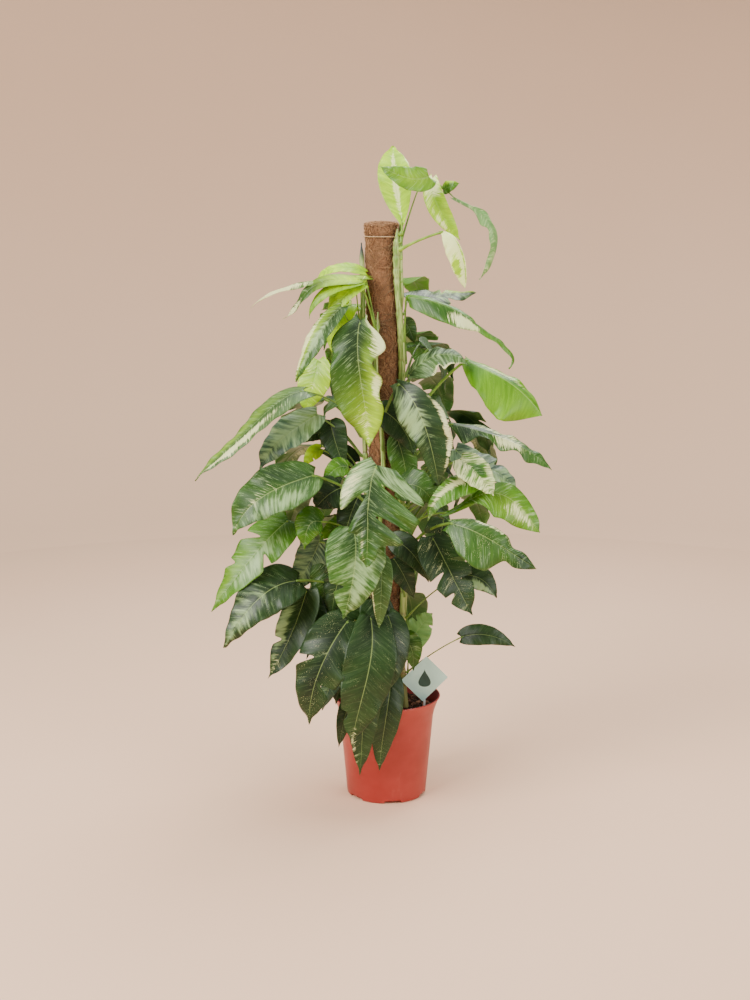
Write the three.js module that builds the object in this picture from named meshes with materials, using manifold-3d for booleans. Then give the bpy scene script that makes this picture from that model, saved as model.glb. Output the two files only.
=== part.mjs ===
// Epipremnum pinnatum 'Albo' climbing a coir pole in a plastic nursery pot, with a plant label.
// Millimetres, +Z up. The origin is on the pot's axis, in the plane that the pot stands on.
// -Y is the plant's front. Leaves are laid out one by one: each has the points that its midrib passes
// through, and its stalk starts at a height on one of four vines.
import * as THREE from "three";
import { mergeVertices } from "three/addons/utils/BufferGeometryUtils.js";
import Module from "manifold-3d";

const wasm = await Module();
wasm.setup();

// Pot
const POT_HEIGHT = 236;
const POT_FOOT_RADIUS = 92;
const POT_WAIST_RADIUS = 109;
const POT_WAIST_HEIGHT = 188;
const POT_RIM_RADIUS = 124;
const POT_WALL = 2.2;
const FOOT_HEIGHT = 8;
const FLOOR = 2.5;
const FOOT_RING_WIDTH = 20;
const CENTRE_PAD_RADIUS = 30;
const FOOT_NOTCHES = 6;
const NOTCH_WIDTH = 40;
const NOTCH_HEIGHT = 7;
const FIRST_NOTCH_DEG = -81;
const DRAIN_HOLES = 6;
const DRAIN_HOLE_RADIUS = 6;
const DRAIN_HOLE_RING = 52;
const ROUND_SIDES = 32;

// Growing mix
const SOIL_EDGE_HEIGHT = 207;
const SOIL_CROWN_HEIGHT = 214;
const FIT_GAP = 0.5;
const HOLE_HEIGHTS = [148, 185, 220, 255];
const VINE_ROOM = 1.7;

// Pole: a round stake in a sleeve of coir, leaning a little to the plant's left
const POLE_FOOT = new THREE.Vector3(8, 0, 12);
const POLE_TOP = new THREE.Vector3(-13, 0, 1316);
const STAKE_RADIUS = 14;
const SLEEVE_RADIUS = 36;
const SLEEVE_START = 40;
const SLEEVE_END_COVER = 18;
const CAP_SPREAD = 2;
const CAP_LENGTH = 26;
const BAND_WIRE_RADIUS = 0.9;

// Vines: where each climbs round the pole, in degrees from +X, how high it reaches, and its radius
const VINE_SIDES = 6;
const VINE_ROOT_HEIGHT = 150;
const VINE_WANDER_DEG = 9;
const VINE_WAVE = 70;
const VINES = {
  front: { degrees: -104, top: 1125, radius: 5.5 },
  right: { degrees: -38, top: 1305, radius: 8 },
  left: { degrees: 186, top: 1275, radius: 6 },
  back: { degrees: 82, top: 1165, radius: 6 },
};

// Leaves
const LEAF_THICKNESS = 1.6;
const STALK_RADIUS = 2.5;
const STALK_SIDES = 5;
const STALK_STEPS = 3;
const STALK_RISE = 0.16;
const BASAL_LOBE = 0.06;
const VEIN_SWEEP = 0.16;
const EDGE_MARGIN = 0.03;
const BASE_FALL = 0.08;
const LOBE_FALL = 0.06;
const VEIN_BEND = 1.4;
const STALK_CLEARANCE = 0.8;
const KNEE_PLACE = 0.03;
const TANGENT_STEP = 0.01;
const CUT_HALF_WIDTH = 0.05;
const LEAST_HALF_WIDTH = 0.8;

// Label
const CARD_WIDTH = 71;
const CARD_HEIGHT = 82;
const CARD_THICKNESS = 0.8;
const CARD_CENTRE = [87, -45, 286];
const CARD_TURN_DEG = 45;
const CARD_HOLE_RADIUS = 2.2;
const CARD_HOLE_RISE = 42;
const CARD_TO_STAKE = 0.4;
const LABEL_STAKE_WIDTH = 5;
const LABEL_STAKE_THICKNESS = 1.4;
const LABEL_STAKE_LENGTH = 104;

const COLOURS = {
  pot: 0xc4432f,
  soil: 0x2b1c14,
  stake: 0x8a6b4a,
  coir: 0x7a4a2c,
  twine: 0xb08a5c,
  vine: 0x8fae5a,
  leaf: 0x4a7a35,
  card: 0xc4dbd6,
  cardStake: 0xe6e6e0,
};

function material(colour, roughness) {
  return new THREE.MeshStandardMaterial({ color: colour, roughness, metalness: 0 });
}

const MATERIALS = {
  pot: material(COLOURS.pot, 0.45),
  soil: material(COLOURS.soil, 0.95),
  stake: material(COLOURS.stake, 0.8),
  coir: material(COLOURS.coir, 0.95),
  twine: material(COLOURS.twine, 0.8),
  vine: material(COLOURS.vine, 0.5),
  leaf: material(COLOURS.leaf, 0.4),
  card: material(COLOURS.card, 0.5),
  cardStake: material(COLOURS.cardStake, 0.5),
};

// A closed geometry as a solid, turned the right way out if its faces point in.
function solidOf(geometry) {
  const bare = geometry.index ? geometry.toNonIndexed() : geometry.clone();
  bare.deleteAttribute("normal");
  bare.deleteAttribute("uv");
  const merged = mergeVertices(bare, 1e-3);
  const vertProperties = merged.attributes.position.array;
  const triVerts = new Uint32Array(merged.index.array);
  const made = new wasm.Manifold(new wasm.Mesh({ numProp: 3, vertProperties, triVerts }));
  if (made.volume() > 0) return made;
  for (let i = 0; i < triVerts.length; i += 3) {
    [triVerts[i + 1], triVerts[i + 2]] = [triVerts[i + 2], triVerts[i + 1]];
  }
  return new wasm.Manifold(new wasm.Mesh({ numProp: 3, vertProperties, triVerts }));
}

function geometryOf(solid) {
  const mesh = solid.getMesh();
  const positions = new Float32Array(mesh.numVert * 3);
  for (let i = 0; i < mesh.numVert; i += 1) {
    positions.set(mesh.vertProperties.subarray(i * mesh.numProp, i * mesh.numProp + 3), i * 3);
  }
  return new THREE.BufferGeometry()
    .setAttribute("position", new THREE.BufferAttribute(positions, 3))
    .setIndex(new THREE.BufferAttribute(mesh.triVerts, 1));
}

const plant = new THREE.Group();

function addPiece(name, solid, look) {
  const mesh = new THREE.Mesh(geometryOf(solid), look);
  mesh.name = name;
  plant.add(mesh);
}

function lathe(profile) {
  const points = profile.map(([radius, height]) => new THREE.Vector2(radius, height));
  return new THREE.LatheGeometry(points, ROUND_SIDES).rotateX(Math.PI / 2);
}

function tube(curve, radius, sides, steps) {
  const corners = [];
  for (let i = 0; i < sides; i += 1) {
    const angle = (2 * Math.PI * i) / sides;
    corners.push(new THREE.Vector2(radius * Math.cos(angle), radius * Math.sin(angle)));
  }
  const section = new THREE.Shape(corners);
  return solidOf(
    new THREE.ExtrudeGeometry(section, { steps, bevelEnabled: false, extrudePath: curve }),
  );
}

// Pot

function potOuterRadius(height) {
  const waist = POT_WAIST_HEIGHT;
  if (height <= waist) {
    return POT_FOOT_RADIUS + ((POT_WAIST_RADIUS - POT_FOOT_RADIUS) * height) / waist;
  }
  const share = (height - waist) / (POT_HEIGHT - waist);
  return POT_WAIST_RADIUS + (POT_RIM_RADIUS - POT_WAIST_RADIUS) * share * (0.6 + 0.4 * share);
}

function makePot() {
  const floorTop = FOOT_HEIGHT + FLOOR;
  const flare = [0.45, 0.94].map((share) => POT_WAIST_HEIGHT + share * (POT_HEIGHT - POT_WAIST_HEIGHT));
  const outer = [
    [0, 0],
    [CENTRE_PAD_RADIUS, 0],
    [CENTRE_PAD_RADIUS + 2, FOOT_HEIGHT],
    [POT_FOOT_RADIUS - FOOT_RING_WIDTH - 2, FOOT_HEIGHT],
    [POT_FOOT_RADIUS - FOOT_RING_WIDTH, 0],
    [POT_FOOT_RADIUS - 3, 0],
    [potOuterRadius(4), 4],
    [POT_WAIST_RADIUS, POT_WAIST_HEIGHT],
    ...flare.map((height) => [potOuterRadius(height), height]),
    [POT_RIM_RADIUS + 1, POT_HEIGHT - 2],
    [POT_RIM_RADIUS, POT_HEIGHT],
  ];
  const inner = [
    [POT_RIM_RADIUS - POT_WALL, POT_HEIGHT],
    ...[...flare].reverse().map((height) => [potOuterRadius(height) - POT_WALL, height]),
    [POT_WAIST_RADIUS - POT_WALL, POT_WAIST_HEIGHT],
    [potOuterRadius(floorTop) - POT_WALL, floorTop],
    [0, floorTop],
  ];
  let pot = solidOf(lathe([...outer, ...inner]));
  for (let i = 0; i < FOOT_NOTCHES; i += 1) {
    const angle = THREE.MathUtils.degToRad(FIRST_NOTCH_DEG + (360 * i) / FOOT_NOTCHES);
    const notch = new THREE.BoxGeometry(FOOT_RING_WIDTH + 16, NOTCH_WIDTH, 2 * NOTCH_HEIGHT);
    notch.translate(POT_FOOT_RADIUS - FOOT_RING_WIDTH / 2, 0, 0).rotateZ(angle);
    pot = pot.subtract(solidOf(notch));
  }
  for (let i = 0; i < DRAIN_HOLES; i += 1) {
    const angle = THREE.MathUtils.degToRad(FIRST_NOTCH_DEG + (360 * (i + 0.5)) / DRAIN_HOLES);
    const hole = new THREE.CylinderGeometry(DRAIN_HOLE_RADIUS, DRAIN_HOLE_RADIUS, 4 * FOOT_HEIGHT, 12);
    hole.rotateX(Math.PI / 2);
    hole.translate(DRAIN_HOLE_RING * Math.cos(angle), DRAIN_HOLE_RING * Math.sin(angle), 0);
    pot = pot.subtract(solidOf(hole));
  }
  addPiece("pot", pot, MATERIALS.pot);
}

// Pole

const POLE_LENGTH = POLE_FOOT.distanceTo(POLE_TOP);
const POLE_AXIS = POLE_TOP.clone().sub(POLE_FOOT).normalize();
const POLE_TURN = new THREE.Quaternion().setFromUnitVectors(new THREE.Vector3(0, 0, 1), POLE_AXIS);

// The pole's centre at a height above the ground.
function poleCentre(height) {
  const share = (height - POLE_FOOT.z) / (POLE_TOP.z - POLE_FOOT.z);
  return POLE_FOOT.clone().lerp(POLE_TOP, share);
}

function onPole(geometry) {
  return geometry.applyQuaternion(POLE_TURN).translate(POLE_FOOT.x, POLE_FOOT.y, POLE_FOOT.z);
}

function makeStake() {
  const end = POLE_LENGTH - SLEEVE_END_COVER;
  const profile = [[0, 0], [STAKE_RADIUS - 3, 0], [STAKE_RADIUS, 12], [STAKE_RADIUS, end], [0, end]];
  return solidOf(onPole(lathe(profile)));
}

function makeSleeve() {
  const bore = STAKE_RADIUS + FIT_GAP;
  const boreEnd = POLE_LENGTH - SLEEVE_END_COVER + FIT_GAP;
  const capStart = POLE_LENGTH - CAP_LENGTH;
  const profile = [
    [bore, SLEEVE_START],
    [SLEEVE_RADIUS, SLEEVE_START],
    [SLEEVE_RADIUS, capStart],
    [SLEEVE_RADIUS + CAP_SPREAD, capStart + 5],
    [SLEEVE_RADIUS + CAP_SPREAD, POLE_LENGTH - 5],
    [SLEEVE_RADIUS - 5, POLE_LENGTH],
    [0, POLE_LENGTH],
    [0, boreEnd],
    [bore, boreEnd],
    [bore, SLEEVE_START],
  ];
  return solidOf(onPole(lathe(profile)));
}

function makeBand() {
  const ring = new THREE.TorusGeometry(SLEEVE_RADIUS + BAND_WIRE_RADIUS + 0.9, BAND_WIRE_RADIUS, 4, 24);
  ring.translate(0, 0, POLE_LENGTH - CAP_LENGTH - 2);
  return solidOf(onPole(ring));
}

// Vines

// A vine's centre at a height, and the way out from the pole there.
function vineAt(vineName, height) {
  const vine = VINES[vineName];
  const wander = VINE_WANDER_DEG * Math.sin(height / VINE_WAVE + vine.degrees);
  const angle = THREE.MathUtils.degToRad(vine.degrees + wander);
  const out = new THREE.Vector3(Math.cos(angle), Math.sin(angle), 0);
  const stand = SLEEVE_RADIUS + CAP_SPREAD + vine.radius + 1;
  return { centre: poleCentre(height).addScaledVector(out, stand), out };
}

function makeVine(vineName) {
  const { top, radius } = VINES[vineName];
  const spans = Math.round((top - VINE_ROOT_HEIGHT) / VINE_WAVE);
  const points = [];
  for (let i = 0; i <= spans; i += 1) {
    points.push(vineAt(vineName, VINE_ROOT_HEIGHT + ((top - VINE_ROOT_HEIGHT) * i) / spans).centre);
  }
  return tube(new THREE.CatmullRomCurve3(points), radius, VINE_SIDES, Math.round(1.5 * spans));
}

// Leaves

// Each row: name, vine, height of its node, then the points along its midrib from base to tip, the
// blade's width, the way its upper face looks, and what else differs from the plain leaf. Rows with one
// name are lobes of one leaf and grow together.
//   fold    degrees that both halves drop from the midrib, or rise if negative
//   portFold, starboardFold   the same for one half
//   full    how slowly the base widens: low is a round base, high is a wedge
//   taper   how soon the blade narrows towards its tip
//   sweep   how far the side veins lean towards the tip
//   port, starboard   cuts between lobes: place along the midrib, depth and half width;
//                     starboard is the side of tangent x upper face
//   portShare, starboardShare   how wide that side is, as a share of half the width
//   portEdge, starboardEdge   that side's own outline: places along the blade and half widths
//   rise    how far the stalk arches above the straight line, as a share of its length
//   bend    the point that the stalk arches towards, in place of its rise
//   stalkWidth   how thick the stalk is, as a share of the plain one
const LEAVES = [
  // Crown
  ["leaf_01", "right", 1294, [[32, -32, 1322], [23, -15, 1370], [15, 10, 1426], [14, 52, 1484]], 74,
    [0, -1, 0.1], { full: 1.1, taper: 0.75 }],
  ["leaf_02", "right", 1276, [[89, -70, 1416], [54, -84, 1411], [17, -84, 1422], [-17, -74, 1438]], 58,
    [0, -1, 0.35], { bend: [80, 60, 1440], full: 0.35 }],
  ["leaf_03", "right", 1240, [[100, 10, 1415], [104, -14, 1368], [128, -20, 1324], [160, -14, 1281]], 46,
    [-0.2, -1, 0.2], { bend: [30, 50, 1450], full: 0.7 }],
  ["leaf_04", "right", 1262, [[118, -50, 1300], [146, -78, 1276], [161, -84, 1236], [168, -80, 1178]], 56,
    [-0.1, -1, 0.3],
    { starboardEdge: [[0, 4], [0.15, 20], [0.4, 29], [0.7, 24], [0.9, 11], [1, 0]], stalkWidth: 1.9,
      rise: 0.06, portEdge: [[0, 3], [0.2, 8], [0.6, 9], [0.9, 5], [1, 0]], portFold: 30 }],
  ["leaf_05", "right", 1212, [[149, 60, 1372], [200, 74, 1346], [238, 78, 1305], [240, 74, 1248],
    [210, 66, 1191]], 40, [0.6, -0.8, 0.3],
    { portEdge: [[0, 4], [0.26, 4], [0.34, 22], [0.42, 9], [0.6, 15], [0.85, 10], [1, 0]],
      bend: [4, 68, 1520],
      starboardEdge: [[0, 4], [0.28, 5], [0.38, 26], [0.46, 9], [0.6, 15], [0.85, 9], [1, 0]],
      fold: 12 }],
  // Right side, from the top down
  ["leaf_06", "right", 1120, [[44, 30, 1151], [124, 60, 1154], [203, 80, 1162]], 70, [0, -0.5, 1],
    { port: [[0.5, 0.5]], starboard: [[0.55, 0.6]] }],
  ["leaf_07", "right", 1060, [[44, -48, 1149], [121, -90, 1143], [200, -104, 1097], [248, -104, 1061],
    [276, -100, 1028], [264, -96, 1006]], 80, [0.2, -0.75, 0.6],
    { starboardEdge: [[0, 6], [0.08, 20], [0.22, 34], [0.4, 38], [0.5, 35], [0.55, 13], [0.65, 11], [0.9, 9], [1, 0]],
      portEdge: [[0, 5], [0.2, 12], [0.45, 12], [0.55, 9], [0.9, 8], [1, 0]], starboardFold: 10,
      portFold: 30 }],
  ["leaf_08", "right", 905, [[46, -54, 984], [82, -64, 1020], [127, -72, 1035], [179, -70, 1010]], 90,
    [-0.1, -0.7, 0.7],
    { portEdge: [[0, 6], [0.15, 20], [0.4, 28], [0.7, 22], [0.9, 9], [1, 0]], portFold: 14,
      starboardFold: 8,
      starboardEdge: [[0, 8], [0.15, 36], [0.35, 46], [0.48, 42], [0.53, 20], [0.6, 38], [0.75, 28], [0.9, 11], [1, 0]] }],
  ["leaf_09", "right", 860, [[175, -20, 1021], [219, -60, 999], [266, -80, 975], [306, -90, 943],
    [340, -92, 902]], 130, [0.2, -1, 0.15],
    { starboardEdge: [[0, 12], [0.25, 50], [0.5, 76], [0.75, 84], [0.9, 46], [1, 0]],
      portEdge: [[0, 6], [0.15, 24], [0.5, 32], [0.8, 26], [1, 0]], portFold: 42, sweep: 0.1 }],
  ["leaf_10", "front", 880, [[22, -92, 975], [52, -124, 944], [81, -142, 884], [98, -150, 826],
    [113, -146, 754]], 124, [-0.35, -0.8, 0.45],
    { portEdge: [[0, 6], [0.15, 26], [0.4, 50], [0.65, 50], [0.85, 26], [0.93, 10], [1, 0]], fold: 8,
      starboardEdge: [[0, 16], [0.1, 40], [0.3, 52], [0.5, 44], [0.6, 30], [0.8, 22], [0.93, 9], [1, 0]] }],
  ["leaf_11", "right", 790, [[140, -60, 881], [205, -84, 867], [286, -102, 838], [362, -108, 783]], 90,
    [0.1, -0.5, 0.85],
    { starboardEdge: [[0, 6], [0.1, 24], [0.2, 50], [0.28, 14], [0.42, 18], [0.55, 34], [0.63, 13], [0.76, 26], [0.9, 15], [1, 0]],
      portEdge: [[0, 5], [0.15, 22], [0.5, 26], [0.8, 18], [0.92, 9], [1, 0]], portFold: 16,
      starboardFold: 24 }],
  ["leaf_12", "right", 735, [[154, -14, 816], [210, -26, 781], [266, -36, 754], [290, -40, 712]], 84,
    [0.1, -0.6, 0.8], { port: [[0.5, 0.5]] }],
  ["leaf_13", "right", 705, [[160, -110, 809], [200, -140, 776], [231, -158, 734]], 72, [0.1, -0.8, 0.5],
    {}],
  ["leaf_14", "right", 670, [[211, -112, 766], [154, -132, 751], [112, -148, 724], [88, -156, 679]], 56,
    [-0.2, -0.8, 0.5], {}],
  ["leaf_15", "right", 640, [[126, -96, 683], [172, -108, 711], [237, -118, 734], [292, -126, 703],
    [337, -130, 648]], 98, [0.1, -0.8, 0.6],
    { starboardEdge: [[0, 6], [0.3, 14], [0.42, 46], [0.55, 56], [0.75, 46], [0.9, 20], [1, 0]],
      portEdge: [[0, 5], [0.3, 8], [0.45, 28], [0.6, 38], [0.8, 30], [0.92, 13], [1, 0]], fold: 8 }],
  ["leaf_16", "right", 590, [[136, -166, 676], [194, -196, 661], [253, -206, 628], [322, -206, 583]], 120,
    [0, -0.95, 0.4],
    { starboardEdge: [[0, 20], [0.2, 60], [0.45, 72], [0.6, 62], [0.66, 20], [0.8, 26], [0.92, 12], [1, 0]],
      portEdge: [[0, 8], [0.2, 26], [0.5, 30], [0.62, 26], [0.68, 12], [0.82, 18], [1, 0]] }],
  ["leaf_17", "right", 530, [[100, -113, 634], [121, -132, 596], [149, -146, 541], [189, -146, 464]], 108,
    [0.2, -0.9, 0.4], { starboard: [[0.4, 0.7], [0.66, 0.6]], port: [[0.3, 0.7], [0.55, 0.65]] }],
  ["leaf_18", "right", 430, [[172, -62, 535], [215, -80, 528], [246, -86, 488]], 60, [0, -0.9, 0.5], {}],
  ["leaf_19", "right", 300, [[171, -30, 381], [232, -42, 389], [295, -42, 361]], 50, [0, -0.95, 0.4],
    { rise: 0.08 }],
  // Left side, from the top down
  ["leaf_20", "front", 1102, [[-45, -60, 1203], [-89, -72, 1203], [-164, -84, 1193], [-230, -80, 1177],
    [-298, -70, 1136]], 26, [-0.05, -0.5, 0.9], { fold: 16, taper: 1.1 }],
  ["leaf_20", "front", 1098, [[-60, -72, 1197], [-117, -90, 1197], [-168, -94, 1177], [-193, -90, 1147],
    [-227, -84, 1113]], 34, [-0.1, -0.7, 0.7], { rise: 0.1, sweep: 0.3 }],
  ["leaf_20", "front", 1094, [[-56, -74, 1193], [-103, -92, 1185], [-146, -96, 1161], [-170, -90, 1113]],
    30, [-0.1, -0.8, 0.6], { rise: 0.08 }],
  ["leaf_20", "front", 1090, [[-50, -70, 1187], [-84, -80, 1171], [-110, -80, 1139], [-128, -72, 1098]],
    34, [-0.2, -0.9, 0.4], { starboard: [[0.5, 0.4]], rise: 0.06 }],
  ["leaf_20", "front", 1106, [[-48, -40, 1212], [-88, -46, 1222], [-128, -46, 1216], [-158, -40, 1192]],
    34, [-0.1, -0.6, 0.8], { rise: 0.1 }],
  ["leaf_21", "left", 1090, [[-68, -34, 1190], [-92, -50, 1176], [-112, -58, 1140], [-122, -52, 1096]],
    56, [-0.4, -1, 0.3], { port: [[0.5, 0.4]] }],
  ["leaf_21", "left", 1087, [[-78, -20, 1140], [-96, -32, 1126], [-114, -34, 1082], [-118, -28, 1026]],
    56, [-0.3, -1, 0.3], { port: [[0.5, 0.5]] }],
  ["leaf_22", "left", 1040, [[-99, -108, 1140], [-131, -125, 1106], [-167, -131, 1049],
    [-199, -126, 980]], 52, [-0.6, -0.8, 0.3], {}],
  ["leaf_23", "left", 935, [[-155, 20, 1014], [-162, 12, 977], [-174, 10, 939], [-182, 12, 896]], 76,
    [-0.3, -1, 0.2], { full: 0.6 }],
  ["leaf_24", "left", 880, [[-183, -74, 955], [-240, -104, 932], [-299, -126, 880], [-362, -138, 822],
    [-421, -136, 764]], 76, [-0.3, -0.5, 0.9], { full: 0.35, fold: 6 }],
  ["leaf_25", "left", 800, [[-155, -40, 899], [-210, -66, 866], [-248, -82, 835], [-282, -88, 780]], 84,
    [-0.3, -0.8, 0.6], {}],
  ["leaf_26", "front", 675, [[-160, -105, 772], [-226, -138, 754], [-288, -158, 720], [-336, -166, 649]],
    118, [-0.1, -0.85, 0.5], { full: 0.6 }],
  ["leaf_27", "left", 655, [[-103, -75, 738], [-134, -92, 722], [-160, -90, 692]], 80, [0, -1, 0.3], {}],
  ["leaf_28", "left", 600, [[-144, -118, 668], [-172, -134, 664], [-182, -138, 610]], 76,
    [0.1, -0.9, 0.5], { port: [[0.45, 0.4]] }],
  ["leaf_29", "left", 550, [[-220, -80, 666], [-298, -120, 592], [-389, -140, 470]], 108,
    [-0.3, -0.8, 0.5], { port: [[0.4, 0.6]], starboard: [[0.3, 0.65], [0.6, 0.4]] }],
  ["leaf_30", "left", 460, [[-197, -112, 534], [-280, -162, 508], [-359, -177, 398]], 112,
    [-0.1, -0.8, 0.6], {}],
  ["leaf_31", "front", 525, [[-152, -42, 612], [-178, -52, 556], [-222, -56, 490]], 78, [-0.1, -1, 0.2],
    {}],
  ["leaf_32", "left", 395, [[-180, -84, 509], [-202, -104, 442], [-230, -118, 379], [-268, -120, 310]],
    90, [-0.4, -0.9, 0.3], { starboard: [[0.55, 0.5]] }],
  // Front, from the top down
  ["leaf_33", "front", 965, [[-59, -104, 1112], [-63, -146, 1029], [-52, -152, 951], [-41, -142, 840]],
    140, [0, -1, 0.25],
    { portEdge: [[0, 12], [0.08, 44], [0.2, 62], [0.29, 60], [0.35, 22], [0.42, 34], [0.52, 50], [0.6, 30], [0.7, 42], [0.85, 28], [0.94, 9], [1, 0]],
      starboardEdge: [[0, 12], [0.08, 40], [0.2, 60], [0.27, 50], [0.36, 64], [0.6, 64], [0.8, 42], [0.93, 12], [1, 0]] }],
  ["leaf_34", "front", 700, [[-23, -176, 806], [-40, -214, 747], [-43, -240, 682], [-46, -256, 598]], 250,
    [0, -1, 0.3],
    { full: 0.55, taper: 0.8, sweep: 0.45, fold: 14, starboardShare: 0.5,
      port: [[0.15, 0.82, 0.06], [0.5, 0.8, 0.07], [0.8, 0.5, 0.16]],
      starboard: [[0.3, 0.92, 0.14], [0.66, 0.4, 0.24]] }],
  ["leaf_35", "front", 560, [[-75, -162, 666], [-69, -216, 608], [-81, -232, 533], [-95, -230, 479]], 132,
    [0, -1, 0.3], { starboard: [[0.66, 0.6]] }],
  ["leaf_36", "front", 345, [[-86, -134, 450], [-120, -170, 407], [-151, -190, 345], [-173, -190, 225]],
    124, [-0.1, -1, 0.3], { starboard: [[0.4, 0.6]], port: [[0.62, 0.7]] }],
  ["leaf_37", "front", 385, [[-38, -142, 462], [-35, -190, 387], [-51, -206, 310], [-78, -204, 185]], 116,
    [0, -1, 0.15], { full: 0.7, starboard: [[0.75, 0.4]] }],
  ["leaf_38", "front", 360, [[0, -118, 458], [13, -152, 409], [-6, -172, 333], [-50, -176, 262]], 80,
    [0.2, -1, 0.2], {}],
  ["leaf_39", "front", 255, [[10, -112, 311], [0, -142, 240], [-9, -148, 182], [-17, -148, 102]], 70,
    [0.1, -1, 0.1], {}],
  ["leaf_40", "front", 300, [[-36, -128, 380], [-52, -160, 262], [-56, -168, 180], [-61, -168, 98]], 82,
    [0.1, -1, 0.1], {}],
  // Back, from the top down
  ["leaf_41", "back", 1040, [[-70, 120, 1130], [-110, 190, 1112], [-150, 232, 1018]], 112,
    [-0.3, 0.7, 0.7], { port: [[0.45, 0.6]] }],
  ["leaf_42", "back", 960, [[40, 130, 1062], [75, 192, 1046], [95, 232, 956]], 112, [0.3, 0.7, 0.7],
    { starboard: [[0.5, 0.65]] }],
  ["leaf_43", "left", 845, [[-140, 100, 915], [-205, 165, 880], [-250, 205, 770]], 116, [-0.6, 0.5, 0.7],
    { port: [[0.4, 0.6], [0.65, 0.5]] }],
  ["leaf_44", "back", 850, [[-20, 150, 935], [-30, 228, 902], [-40, 275, 790]], 122, [0, 0.8, 0.6],
    { port: [[0.35, 0.7]], starboard: [[0.5, 0.7]] }],
  ["leaf_45", "right", 770, [[150, 100, 855], [215, 165, 822], [265, 205, 712]], 116, [0.6, 0.5, 0.7],
    { starboard: [[0.45, 0.65]] }],
  ["leaf_46", "back", 735, [[80, 150, 800], [110, 228, 765], [132, 275, 652]], 126, [0.3, 0.8, 0.6],
    { port: [[0.35, 0.75], [0.6, 0.6]] }],
  ["leaf_47", "back", 640, [[-90, 150, 720], [-128, 222, 690], [-160, 265, 578]], 126, [-0.3, 0.8, 0.6],
    { starboard: [[0.35, 0.7], [0.58, 0.6]] }],
  ["leaf_48", "left", 560, [[-120, 100, 642], [-165, 160, 602], [-190, 190, 500]], 112, [-0.5, 0.6, 0.7],
    {}],
  ["leaf_49", "back", 520, [[-30, 160, 600], [-45, 238, 565], [-55, 282, 450]], 128, [0, 0.8, 0.6],
    { port: [[0.4, 0.7]], starboard: [[0.55, 0.6]] }],
];

// The midrib as the polynomial through its points. Three points stand at 0, one half and 1, and more
// stand at their share of the length. The upper face's direction keeps its share along the normal of
// the plane that the midrib bends in, and turns with the curve in that plane.
function midrib(points, face) {
  const given = points.map((p) => new THREE.Vector3(...p));
  const run = given.map((p, i) => (i === 0 ? 0 : p.distanceTo(given[i - 1])));
  const total = run.reduce((sum, span) => sum + span, 0);
  let travelled = 0;
  const knots = run.map((span) => {
    travelled += span;
    return travelled / total;
  });
  if (given.length === 3) knots[1] = 0.5;
  const weight = (i, t) =>
    knots.reduce((product, knot, j) => (j === i ? product : (product * (t - knot)) / (knots[i] - knot)), 1);
  const point = (t) => given.reduce((sum, p, i) => sum.addScaledVector(p, weight(i, t)), new THREE.Vector3());
  const tangent = (t) => point(t + TANGENT_STEP).sub(point(t - TANGENT_STEP)).normalize();
  const level = tangent(0).cross(tangent(1)).normalize();
  const towards = new THREE.Vector3(...face);
  const sideways = towards.dot(level);
  const inPlane = towards.dot(level.clone().cross(tangent(0.5)));
  const normal = (t) => {
    const along = tangent(t);
    const upright = level.clone().cross(along).multiplyScalar(inPlane).addScaledVector(level, sideways);
    return upright.addScaledVector(along, -upright.dot(along)).normalize();
  };
  return { point, tangent, normal };
}

// The half width at a place on an edge that is given as places and half widths.
function edgeWidth(edge, place) {
  const after = edge.findIndex(([at]) => at >= place);
  if (after === 0) return edge[0][1];
  if (after < 0) return edge[edge.length - 1][1];
  const [from, low] = edge[after - 1];
  const [to, high] = edge[after];
  return low + ((high - low) * (place - from)) / (to - from);
}

// Half the blade's width as a share of its widest, at a place along the midrib.
function outline(place, full, taper) {
  const span = 1 + BASAL_LOBE + EDGE_MARGIN;
  const share = THREE.MathUtils.clamp((place + BASAL_LOBE + EDGE_MARGIN) / span, 0, 1);
  const widest = full / (full + taper);
  const peak = widest ** full * (1 - widest) ** taper;
  return (share ** full * (1 - share) ** taper) / peak;
}

// Where a side vein that leaves the midrib at a place meets the edge.
function veinEnd(place, sweep) {
  const lean = (1 - place) * sweep * (1 - Math.exp(-place / BASE_FALL));
  return place + lean - BASAL_LOBE * Math.exp(-place / LOBE_FALL);
}

// The share of its width that a blade keeps at a place, past the cuts between its lobes.
function kept(place, cuts) {
  return cuts.reduce((share, [at, depth, reach = CUT_HALF_WIDTH]) => {
    const near = Math.max(0, 1 - Math.abs(place - at) / reach);
    return share * (1 - depth * near);
  }, 1);
}

// The place whose side vein meets the edge at a given place, found by halving.
function veinStart(end, sweep) {
  let low = 0;
  let high = 1;
  for (let i = 0; i < 16; i += 1) {
    const middle = (low + high) / 2;
    if (veinEnd(middle, sweep) < end) low = middle;
    else high = middle;
  }
  return (low + high) / 2;
}

// Where the blade has its rows: at even places, at each cut, and at each turn of a given edge.
function rowPlaces(cuts, edges, sweep) {
  const even = [0, 0.09, 0.26, 0.45, 0.64, 0.83, 1];
  const atCuts = cuts.flatMap(([at, , reach = CUT_HALF_WIDTH]) => [at - reach, at, at + reach]);
  const atTurns = edges.flat().map(([at]) => veinStart(at, sweep));
  const wanted = [...atCuts, ...atTurns];
  const kept = [0, 1];
  for (const place of [...wanted, ...even]) {
    if (kept.every((other) => Math.abs(place - other) > 0.03)) kept.push(place);
  }
  return kept.sort((p, q) => p - q);
}

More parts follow.
